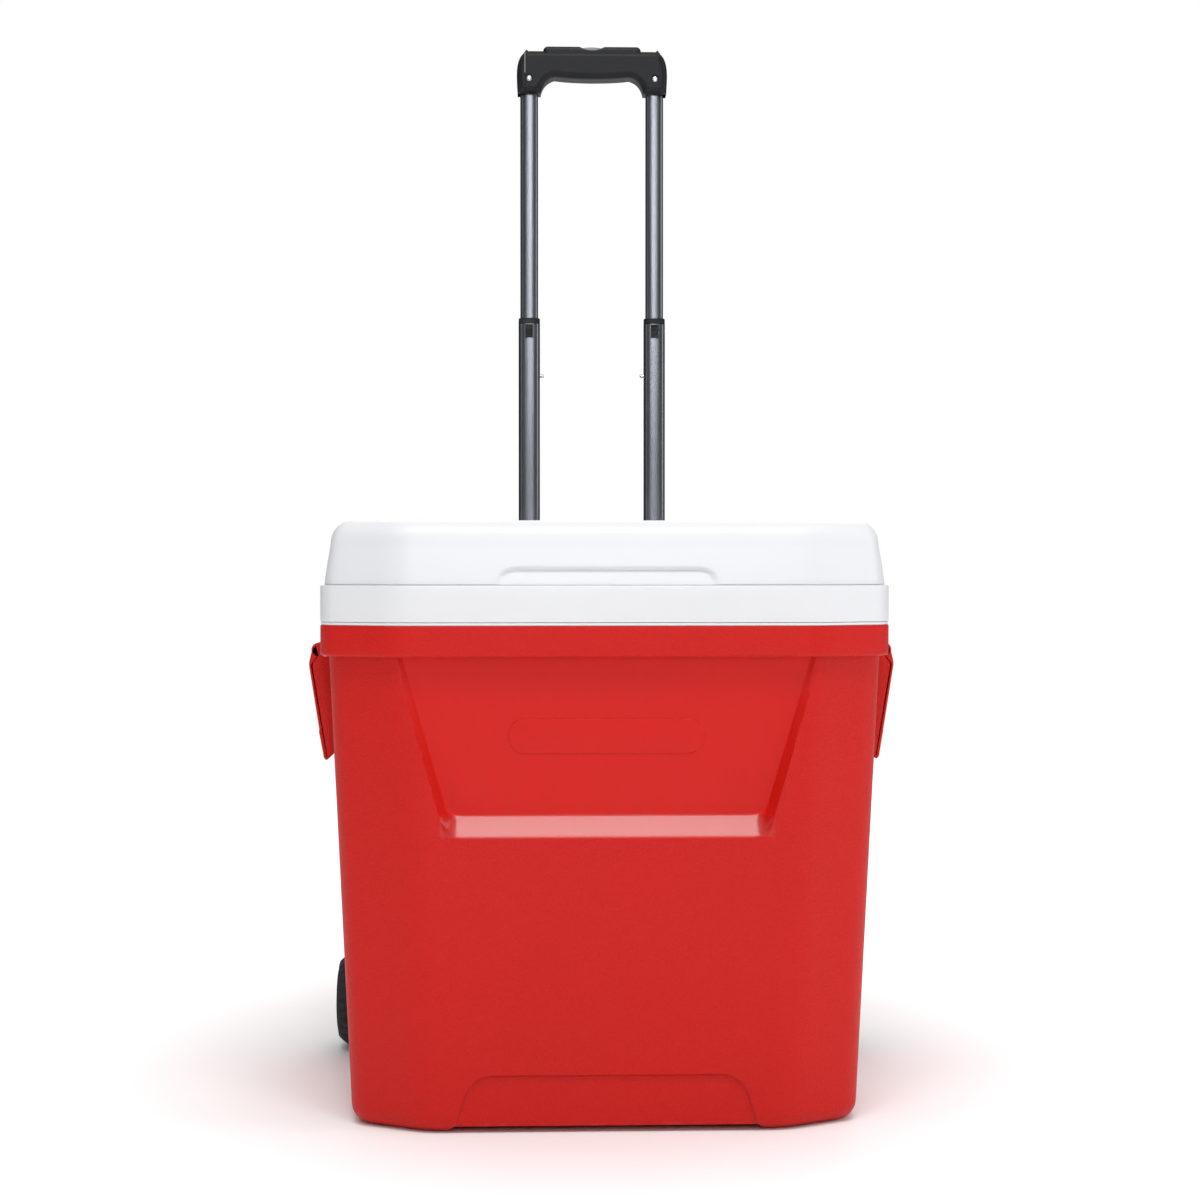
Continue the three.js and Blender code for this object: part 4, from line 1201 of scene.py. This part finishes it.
class COOLER_OT_drain(Maker, bpy.types.Operator):
    """Drain fitting, gasket and nut inside the chest wall, and the ribbed cap outside it"""

    bl_idname = "cooler.drain"
    bl_label = "Drain"

    def build(self):
        fitting = [(6, 185.4), (11, 185.4), (11.5, 185.9), (11.5, 188.0), (11.1, 188.4), (8, 188.4)]
        for x in np.arange(206, 231, 2.0):
            fitting += [(8.0, x), (7.4, x + 0.6), (7.4, x + 1.2), (8.0, x + 1.8)]
        fitting += [(8, 237.4), (7.5, 238), (6, 238), (6, 185.4)]
        self.place("drain_fitting", lathe(fitting, 48), "white")
        gasket = [(8.3, 225), (13.2, 225), (13.5, 225.8), (13.2, 226.6), (8.3, 226.6), (8.3, 225)]
        self.place("drain_gasket", lathe(gasket, 48), "seal")
        flats = [(13 * cos(k * pi / 3), 13 * sin(k * pi / 3)) for k in range(6)]
        nut = prism(rounded_outline(flats, [1.2] * 6), 226.9, 231.9, 0.7, "X")
        self.place("drain_nut", carved(nut, drill(8.3, 220, 240, "X")), "white")
        self.place("drain_cap", self.cap(), "white")

    def place(self, node, form, look):
        stand_in(node, form.move(0, DRAIN_Y, DRAIN_Z), look)

    def cap(self):
        """A round cap with grip ribs: its rim swells and narrows twenty times around."""
        profile = [(0, 238.5), (8.6, 238.5), (8.6, 232.5), (13.6, 232.5), (14.5, 233.4), (14.5, 240.6)]
        profile += [(14.1, 241.6), (13.2, 242.2), (11.5, 242.5), (11.1, 242.2), (9.0, 242.2)]
        profile += [(8.6, 242.5), (0, 242.5)]
        cap = lathe(profile, 160, "X")
        points = []
        for x, y, z in cap.points:
            radius = sqrt(y * y + z * z)
            rib = 0.5 + 0.5 * cos(20 * atan2(z, y))
            shrink = 1 - 0.055 * (1 - rib**0.6) if radius > 13 and 233 < x < 242 else 1
            points.append((x, y * shrink, z * shrink))
        return Form().add(points, cap.faces)


# ---- Trolley handle ----

# (width, depth, squareness, wall) of each tube's section: 2 is an ellipse, more is squarer.
OUTER_TUBE = (27, 20, 3.2, 1.3)
MIDDLE_TUBE = (22.6, 16, 3.0, 1.2)
INNER_TUBE = (18.8, 11, 2.7, 1.2)
MIDDLE_TOP = 743.7
STOP_PIN_Z = 688.7
PIN_SLOT_X = (TUBE_X - 16, TUBE_X - 8)


class COOLER_OT_tubes(Maker, bpy.types.Operator):
    """The three pairs of telescoping tubes, with their guides and stop pins"""

    bl_idname = "cooler.tubes"
    bl_label = "Handle Tubes"

    def build(self):
        outer = carved(self.tube(OUTER_TUBE, 101.3, 436), self.slot(3, 150, 441))
        stand_in_pair("outer_tube", outer, "tube")
        corners = [(61.9, 727.5), (70.5, 727.5), (70.5, 742.6), (61.9, 742.6)]
        window = prism(rounded_outline(corners, [1] * 4), 211, 219, 0)
        middle = carved(self.tube(MIDDLE_TUBE, 400, MIDDLE_TOP), window, self.slot(2.5, 453.7, 691.1))
        stand_in_pair("middle_tube", middle, "tube")
        stand_in_pair("inner_tube", self.tube(INNER_TUBE, 680, 1008), "tube")
        stand_in_pair("guide_bush", self.bush(), "black")
        stand_in_pair("middle_collar", self.collar(), "black")
        stop = pin(2, TUBE_X - 15.3, TUBE_X - 6.4, "X", 0.5).move(0, TUBE_Y, STOP_PIN_Z)
        stand_in_pair("stop_pin", stop, "steel")

    def tube(self, tube, low, high):
        return sleeve(tube_section(tube, steps=12), tube_section(tube, -tube[3], 12), low, high)

    def slot(self, half, low, high):
        return rounded_box(PIN_SLOT_X, (TUBE_Y - half, TUBE_Y + half), (low, high), 0)

    def guide(self, tube, grow, hole, low, high, drop, draw, steps):
        """A ring on a tube's mouth, its top edge rounded: it drops that far and draws in that far."""
        rings = [ring_at(tube_section(tube, grow), z) for z in (low, high - drop)]
        for k in range(1, steps + 1):
            angle = pi / 2 * k / steps
            section = tube_section(tube, grow - draw * (1 - cos(angle)))
            rings.append(ring_at(section, high - drop + drop * sin(angle)))
        return loft([*rings, ring_at(hole, high - 0.2), ring_at(hole, low)], loop=True)

    def bush(self):
        """The ring that guides the middle tube."""
        low, high = 436.3, 443
        ring = self.guide(OUTER_TUBE, 1.2, tube_section(MIDDLE_TUBE, 0.4), low, high, 2.4, 2.0, 5)
        return carved(ring, self.slot(3, low - 1, high + 1))

    def collar(self):
        """The snap-in guide: a ring on the tube's end, and a tab that clips into the window."""
        ring = self.guide(MIDDLE_TUBE, 0, tube_section(INNER_TUBE, 0.3), MIDDLE_TOP + 0.3, 749.5, 1.6, 1.2, 4)
        front = TUBE_Y - 8
        tab = rounded_box((62.7, 69.7), (front + 0.2, front + 1.7), (729.5, 740), 0.5)
        ridge = rounded_box((63.4, 69.0), (front - 0.1, front + 1.0), (736.4, 738.6), 0.4)
        strip = rounded_box((62.7, 69.7), (front + 1.45, front + 2.3), (729, MIDDLE_TOP + 1), 0)
        return ring.join(tab, ridge, strip)


GRIP_Y = (208, 238)
BUTTON_HALF, BUTTON_Y = (18.5, 8), 221


class COOLER_OT_grip(Maker, bpy.types.Operator):
    """Black trolley grip in four mouldings, with the release button in its top"""

    bl_idname = "cooler.grip"
    bl_label = "Grip"

    def build(self):
        bar = [(-51, 1016), (51, 1016), (51.5, 1029), *curve((51.5, 1029), (51, 1034), (46, 1034))]
        bar += [(0, 1034), (-46, 1034), *curve((-46, 1034), (-51, 1034), (-51.5, 1029))]
        tip = [(60, 1022), (73, 1022), (71.8, 1028), (69.3, 1031), (66, 1029)]
        parts = [prism(self.outline(), *GRIP_Y, 6.5, "Y", 7), prism(bar, 208.6, 237.4, 4, "Y", 5)]
        parts += [prism(tip, 213, 233, 0.8), prism(tip, 213, 233, 0.8).mirror()]
        tube = prism(tube_section(INNER_TUBE, 0.3), 984, 1008.3, 0, "Z")
        pocket = prism(self.oval(BUTTON_HALF[0] + 0.4, BUTTON_HALF[1] + 0.4), 1014, 1045, 0, "Z")
        hollow = rounded_box((-69, 69), (213, 233), (1004.5, 1025), 0)
        dip = [(14.5, 1034.4), *curve((14.5, 1034.4), (7, 1029.2), (0, 1029.2))]
        dip += [*curve((0, 1029.2), (-7, 1029.2), (-14.5, 1034.4)), (-14.5, 1040), (14.5, 1040)]
        tools = [tube, tube.mirror(), pocket, hollow, prism(dip[::-1], 200, 214.5, 0)]
        for sign in (1, -1):
            tools.append(drill(3.9, 200, 210.4, "Y").move(sign * TUBE_X, 0, GRIP_SCREW_Z))
        grip = Form().join(*[carved(part, *tools) for part in parts])
        middle = sliced(grip, 0, -70.5, 70.5)
        stand_in("grip_front", sliced(middle, 1, 200, TUBE_Y - 0.15), "grip", 40)
        stand_in("grip_rear", sliced(middle, 1, TUBE_Y + 0.15, 245), "grip", 40)
        stand_in_pair("grip_cap", sliced(grip, 0, 70.8, 95), "grip", 40)
        self.button()

    def outline(self):
        """From the front: straight shoulders, a rounded cap at each end, two legs and the arch between."""
        half = [(0, 999.8), *curve((0, 999.8), (26, 1000), (39.3, 1002))]
        half += curve((39.3, 1002), (51.5, 999), (54, 985))
        half += [(61, 985), (70, 985), (78.4, 985), (79.0, 995), (79.3, 1003)]
        half += [*curve((79.3, 1003), (79.4, 1029), (65, 1029.5)), (52, 1029.5), (26, 1029.5), (0, 1029.5)]
        return half + [(-x, z) for x, z in half[-2:0:-1]]

    def oval(self, half_x, half_y):
        """An outline like the button's, from above."""
        return [(half_x * cos(a), BUTTON_Y + half_y * sin(a)) for a in np.linspace(0, 2 * pi, 65)[:-1]]

    def button(self):
        """An oval key with a softly domed top."""
        levels = [(1020.3, 1.0), (1030.8, 1.0)]
        levels += [(1030.8 + 2.4 * sin(a), 1 - 0.16 * (1 - cos(a))) for a in np.linspace(0, pi / 2, 6)[1:]]
        levels += [(1033.2 + 2.1 * (1 - share**2 / 0.7056), share) for share in (0.7, 0.5, 0.3, 0.1)]
        rings = [ring_at(self.oval(*[half * share for half in BUTTON_HALF]), z) for z, share in levels]
        stand_in("release_button", loft(rings), "button", 40)


class COOLER_OT_brackets(Maker, bpy.types.Operator):
    """Black brackets that hold the outer tubes to the back of the chest"""

    bl_idname = "cooler.brackets"
    bl_label = "Handle Brackets"

    def build(self):
        for end, sizes in BRACKETS.items():
            stand_in(f"handle_{end}_bracket", self.bracket(*sizes, pocket=end == "bottom"), "black")

    def bracket(self, low, high, back, screw_z, pocket):
        """A ribbed plate with a block round each tube. A pocket closes the block under the tube."""
        plate = rounded_box((-92, 92), (back, back + 5), (low, high), 1.8)
        depth = 236 - back - 2
        outer = rounded_section(35, depth, 7, 8) + [66.5, back + 2 + depth / 2]
        hole = tube_section(OUTER_TUBE, 0.3)
        block = sleeve(outer, hole, low, high, 1.2)
        if pocket:
            block.join(rounded_box((51, 82), (back + 4, 234), (low, low + 5), 1.5))
        else:
            block = carved(block, rounded_box((40, 55), (TUBE_Y - 3.2, TUBE_Y + 3.2), (low - 1, high + 1), 0))
        for z in (low + 6, high - 6):
            rib = rounded_box((44, 50.5), (back + 3, back + 11), (z - 1.2, z + 1.2), 0.6)
            block.join(rib, rounded_box((82.5, 88), (back + 3, back + 9), (z - 1.2, z + 1.2), 0.6))
        plate.join(block, block.mirror())
        for z in (low + 3.4, high - 3.4):
            plate.join(rounded_box((-46, 46), (back + 4, back + 7.5), (z - 1.2, z + 1.2), 0.7))
        for x in (-BRACKET_SCREW_X, BRACKET_SCREW_X):
            boss = lathe([(0, back + 3), (7, back + 3), (6.6, back + 5.2), (0, back + 5.2)], 32, "Y")
            plate.join(boss.move(x, 0, screw_z))
        return plate


# ---- Wheels ----


class COOLER_OT_wheels(Maker, bpy.types.Operator):
    """Wheels: black hubs of five spokes, treaded tyres and the steel axle"""

    bl_idname = "cooler.wheels"
    bl_label = "Wheels"

    def build(self):
        stand_in_pair("wheel_hub", self.hub().move(0, WHEEL_Y, WHEEL_RADIUS), "hub", 36)
        stand_in_pair("tyre", self.tyre().move(0, WHEEL_Y, WHEEL_RADIUS), "tyre", 36)
        stand_in("axle", pin(AXLE_RADIUS, -258, 258, "X", 1.0, 48).move(0, WHEEL_Y, WHEEL_RADIUS), "steel")

    def tyre(self):
        """Twenty-eight lugs on each shoulder, staggered, with a plain band between them."""
        across = [217.2, 218.2, *range(220, 247, 2), 249, 252.4, 255.6]
        radii = [43.0, 45.4, 47.2, *[WHEEL_RADIUS] * 11, 47.8, 47.2, 45.6, 43.2, 40.6]
        profile = [(33, 217), (38, 217), (41.5, 217), *zip(radii, across)]
        tyre = lathe([*profile, (38, 258.2), (35, 258.2), (33, 257.6), (33, 217)], 336, "X")
        x, y, z = np.array(tyre.points).T
        radius, turn = np.hypot(y, z), np.arctan2(z, y)
        middle = 232
        band = np.abs(x - middle)
        skew = np.where(x > middle, 0.5, 0.0)
        wave = np.cos(28 * (turn - 0.010 * band) + 2 * pi * skew)
        groove = smoothstep(wave, 0.35, 0.75) * smoothstep(band, 2.4, 4.0)
        centre = 1 - smoothstep(band, 0.6, 1.8)
        depth = 2.2 * groove * smoothstep(radius, 41, 45) + 1.0 * centre
        share = 1 - np.where(radius > 40, depth, 0) / radius
        return Form().add(np.column_stack([x, y * share, z * share]), tyre.faces)

    def hub(self):
        """A deep dished hub: the axle's sleeve, the rim, five ribbed spokes with a web between each pair."""
        inner, ring = 213, 32.7
        profile = [(5.3, inner), (11.4, inner), (12, inner + 0.6), (12, inner + 14), (ring - 3, inner + 14)]
        profile += [(ring - 3, inner + 4.6), (ring - 2.4, inner + 4), (ring - 0.6, inner + 4)]
        profile += [(ring, inner + 4.6), (ring, 256.6), (ring - 0.6, 258.4), (ring - 2, 259.5)]
        profile += [(ring - 5.2, 259.5), (ring - 6.6, 258.6), (ring - 7.4, 256), (ring - 8, 238.6)]
        profile += [(ring - 9, 237), (14.4, 237), (13.4, 238), (12.9, 254), (12, 255.8), (10.4, 256.4)]
        profile += [(9.6, 257.6), (8.4, 260.2), (6.2, 261.1), (3.2, 261.45), (0, 261.5)]
        hub = lathe(profile + [(0, 258.3), (5.3, 258.3), (5.3, inner)], 120, "X")
        spoke = rounded_box((234, 257.6), (-4.2, 4.2), (-27, -10.5), 1.4)
        spoke.join(rounded_box((240, 258.4), (-1.2, 1.2), (-26, -11), 0.6))
        web = rounded_box((234, 246), (-0.9, 0.9), (-26, -12), 0.5)
        for k in range(5):
            hub.join(self.turned(spoke, 2 * pi * k / 5), self.turned(web, 2 * pi * (k + 0.5) / 5))
        return hub

    def turned(self, form, angle):
        c, s = cos(angle), sin(angle)
        return Form().add([(x, y * c - z * s, y * s + z * c) for x, y, z in form.points], form.faces)


# ---- Carry handles ----


class COOLER_OT_side_handles(Maker, bpy.types.Operator):
    """Red carry handles that swing on a pin at each side of the rim"""

    bl_idname = "cooler.side_handles"
    bl_label = "Carry Handles"

    def build(self):
        stand_in_pair("side_handle", self.handle(), "red", 40)
        steel = pin(2.6, BAIL_Y[0] + 1, BAIL_Y[1] - 1, "Y").move(PIVOT_X, 0, PIVOT_Z)
        stand_in_pair("side_handle_pin", steel, "steel")

    def handle(self):
        """Two flat arms from the pivot, joined by a thick bar for the hand."""
        low, high = BAIL_Y
        corners = [(249.5, 311.5), (251.5, 314), (264.5, 396.5), (264.5, 400), (261.5, 413), (258, 416.5)]
        corners += [(255, 406), (260.3, 398.5), (260.5, 396), (247.6, 316), (247.4, 312.5)]
        radii = [2, 3, 20, 20, 4, 3, 3, 6, 6, 3, 1.5]
        plate = prism(rounded_outline(corners, radii, 4), low, high, 0.8, "Y", 3)
        corners = [(low + 24, 342), (high - 24, 342), (high - 24, 460), (low + 24, 460)]
        opening = rounded_outline(corners, [18, 18, 1, 1], 8)
        arms = carved(plate, prism(opening, 225, 285, 0, "X"))
        between = rounded_box((225, 285), (low + 20, high - 20), (PIVOT_Z - 10, PIVOT_Z + 30), 0)
        arms = carved(arms, between)
        corners = [(248.2, 315.8), (249.6, 312), (252.3, 314.6), (256.9, 338.6), (252.2, 340.6)]
        bar = rounded_outline(corners, [2, 2, 3, 3, 3], 5)
        arms.join(prism(bar, low + 6, high - 6, 2.0, "Y", 4))
        for start in (low, high - 20):
            arms.join(pin(6.5, start, start + 20, "Y", 0.9, 48).move(PIVOT_X, 0, PIVOT_Z))
        corners = [(242, 404.5), (242, 318), (249.3, 313.2), (263.4, 397.6), (257.6, 406)]
        web = rounded_outline(corners, [5, 5, 1.2, 1.2, 1.5], 5)
        for middle, end in ((low + 12, low), (high - 12, high - 4)):
            arms.join(self.rib(middle), prism(web, end, end + 4, 0.5, "Y"))
        return arms

    def rib(self, y):
        """A raised spine down the outside of an arm."""
        corners = [(255.6, 345), (257.2, 345), (265.0, 395), (263.6, 395)]
        return prism(rounded_outline(corners, [0.6] * 4, 3), y - 3.2, y + 3.2, 0.7, "Y")


class COOLER_OT_inner_pieces(Maker, bpy.types.Operator):
    """Finishes of the pieces inside the chest, the lid and the grip"""

    bl_idname = "cooler.inner_pieces"
    bl_label = "Inner Pieces"

    def build(self):
        dress("foam", "chest_foam", "lid_foam")
        dress("steel", "lock_yoke", "button_spring")
        dress("black", *[f"axle_block_{side}" for side, _ in SIDES])


# ---- Stage ----


CAMERA_X, CAMERA_Z, CAMERA_LENS = -0.066, 0.482, 63.92
CAMERA_TURN, CAMERA_TIP = 1.893, 0.776  # in degrees


class COOLER_OT_stage(Maker, bpy.types.Operator):
    """Floor, soft lights and the camera"""

    bl_idname = "cooler.stage"
    bl_label = "Stage"

    def build(self):
        self.floor()
        self.world()
        self.lights()
        self.camera()

    def floor(self):
        """A square floor a hair under the wheels and feet."""
        mesh = bpy.data.meshes.new("floor")
        reach, drop = 3.0, 0.0004
        corners = [(-reach, -reach), (reach, -reach), (reach, reach), (-reach, reach)]
        mesh.from_pydata([(x, y, -drop) for x, y in corners], [], [(0, 1, 2, 3)])
        mesh.materials.append(finish("floor"))
        floor = bpy.data.objects.new("floor", mesh)
        bpy.context.scene.collection.objects.link(floor)

    def world(self):
        """A white backdrop behind a softly lit room."""
        world = bpy.data.worlds.new("studio")
        world.use_nodes = True
        graph = Graph(world.node_tree)
        _, y, z = graph.axes(graph.node("ShaderNodeTexCoord", output="Generated"))
        room = z.ramp(0.55, 0.8, 0.11, 1.0) + y.ramp(0.6, 0.92, 0.0, 0.4)
        backdrop = graph.node("ShaderNodeLightPath", output="Is Camera Ray")
        strength = room + backdrop * (1 - room)
        sockets = {"Strength": strength, "Color": (1.0, 1.0, 1.0, 1.0)}
        background = graph.node("ShaderNodeBackground", None, sockets)
        output = world.node_tree.nodes.new("ShaderNodeOutputWorld")
        world.node_tree.links.new(background.socket, output.inputs["Surface"])
        bpy.context.scene.world = world
        bpy.context.scene.view_settings.view_transform = "Standard"

    def lights(self):
        """Soft rectangular lights, each as (name, position, target, width, height, watts)."""
        rig = (
            ("overhead", (0.0, -1.2, 2.3), (0, -0.22, 0.26), 1.2, 0.6, 21),
            ("front_panel", (0.1, -3.0, 1.5), (0, 0, 0.7), 0.4, 1.2, 19),
            ("left_bank", (-2.4, -1.2, 1.2), (0, 0, 0.4), 0.5, 1.8, 3),
            ("right_bank", (2.3, -0.7, 1.1), (0.1, 0, 0.4), 0.7, 2.2, 12),
            ("back_fill", (0.4, 3.0, 2.2), (0, 0, 0.45), 2.2, 1.4, 20),
        )
        for name, place, target, width, height, watts in rig:
            data = bpy.data.lights.new(name, "AREA")
            data.shape = "RECTANGLE"
            data.size = width
            data.size_y = height
            data.energy = watts
            light = bpy.data.objects.new(name, data)
            light.location = place
            light.rotation_euler = (Vector(target) - Vector(place)).to_track_quat("-Z", "Y").to_euler()
            light.visible_camera = False
            bpy.context.scene.collection.objects.link(light)

    def camera(self):
        """Before the chest and a little to its left, turned back towards it and tipped slightly down."""
        data = bpy.data.cameras.new("camera")
        data.sensor_width = 36
        data.lens = CAMERA_LENS
        camera = bpy.data.objects.new("camera", data)
        scene = bpy.context.scene
        camera.location = (CAMERA_X, RIM_FRONT * MM - scene.ice_chest.camera_distance, CAMERA_Z)
        turn, tip = radians(CAMERA_TURN), radians(CAMERA_TIP)
        ahead = Vector((sin(turn) * cos(tip), cos(turn) * cos(tip), -sin(tip)))
        camera.rotation_euler = ahead.to_track_quat("-Z", "Y").to_euler()
        scene.collection.objects.link(camera)
        scene.camera = camera


OPERATORS = (
    COOLER_OT_stage,
    COOLER_OT_chest,
    COOLER_OT_liner,
    COOLER_OT_lid,
    COOLER_OT_hinges,
    COOLER_OT_drain,
    COOLER_OT_tubes,
    COOLER_OT_grip,
    COOLER_OT_brackets,
    COOLER_OT_screws,
    COOLER_OT_wheels,
    COOLER_OT_side_handles,
    COOLER_OT_inner_pieces,
)


class COOLER_PT_panel(bpy.types.Panel):
    """Buttons that build the ice chest, piece by piece"""

    bl_idname = "COOLER_PT_panel"
    bl_label = "Ice Chest"
    bl_space_type = "VIEW_3D"
    bl_region_type = "UI"
    bl_category = "Ice Chest"

    def draw(self, context):
        looks = context.scene.ice_chest
        for name in IceChestSettings.__annotations__:
            self.layout.prop(looks, name)
        for operator in OPERATORS:
            self.layout.operator(operator.bl_idname)


CLASSES = (IceChestSettings, *OPERATORS, COOLER_PT_panel)


def register():
    for cls in CLASSES:
        bpy.utils.register_class(cls)
    bpy.types.Scene.ice_chest = bpy.props.PointerProperty(type=IceChestSettings)


def unregister():
    del bpy.types.Scene.ice_chest
    for cls in reversed(CLASSES):
        bpy.utils.unregister_class(cls)


def main():
    register()
    for operator in OPERATORS:
        group, action = operator.bl_idname.split(".")
        getattr(getattr(bpy.ops, group), action)()


if __name__ == "__main__":
    main()
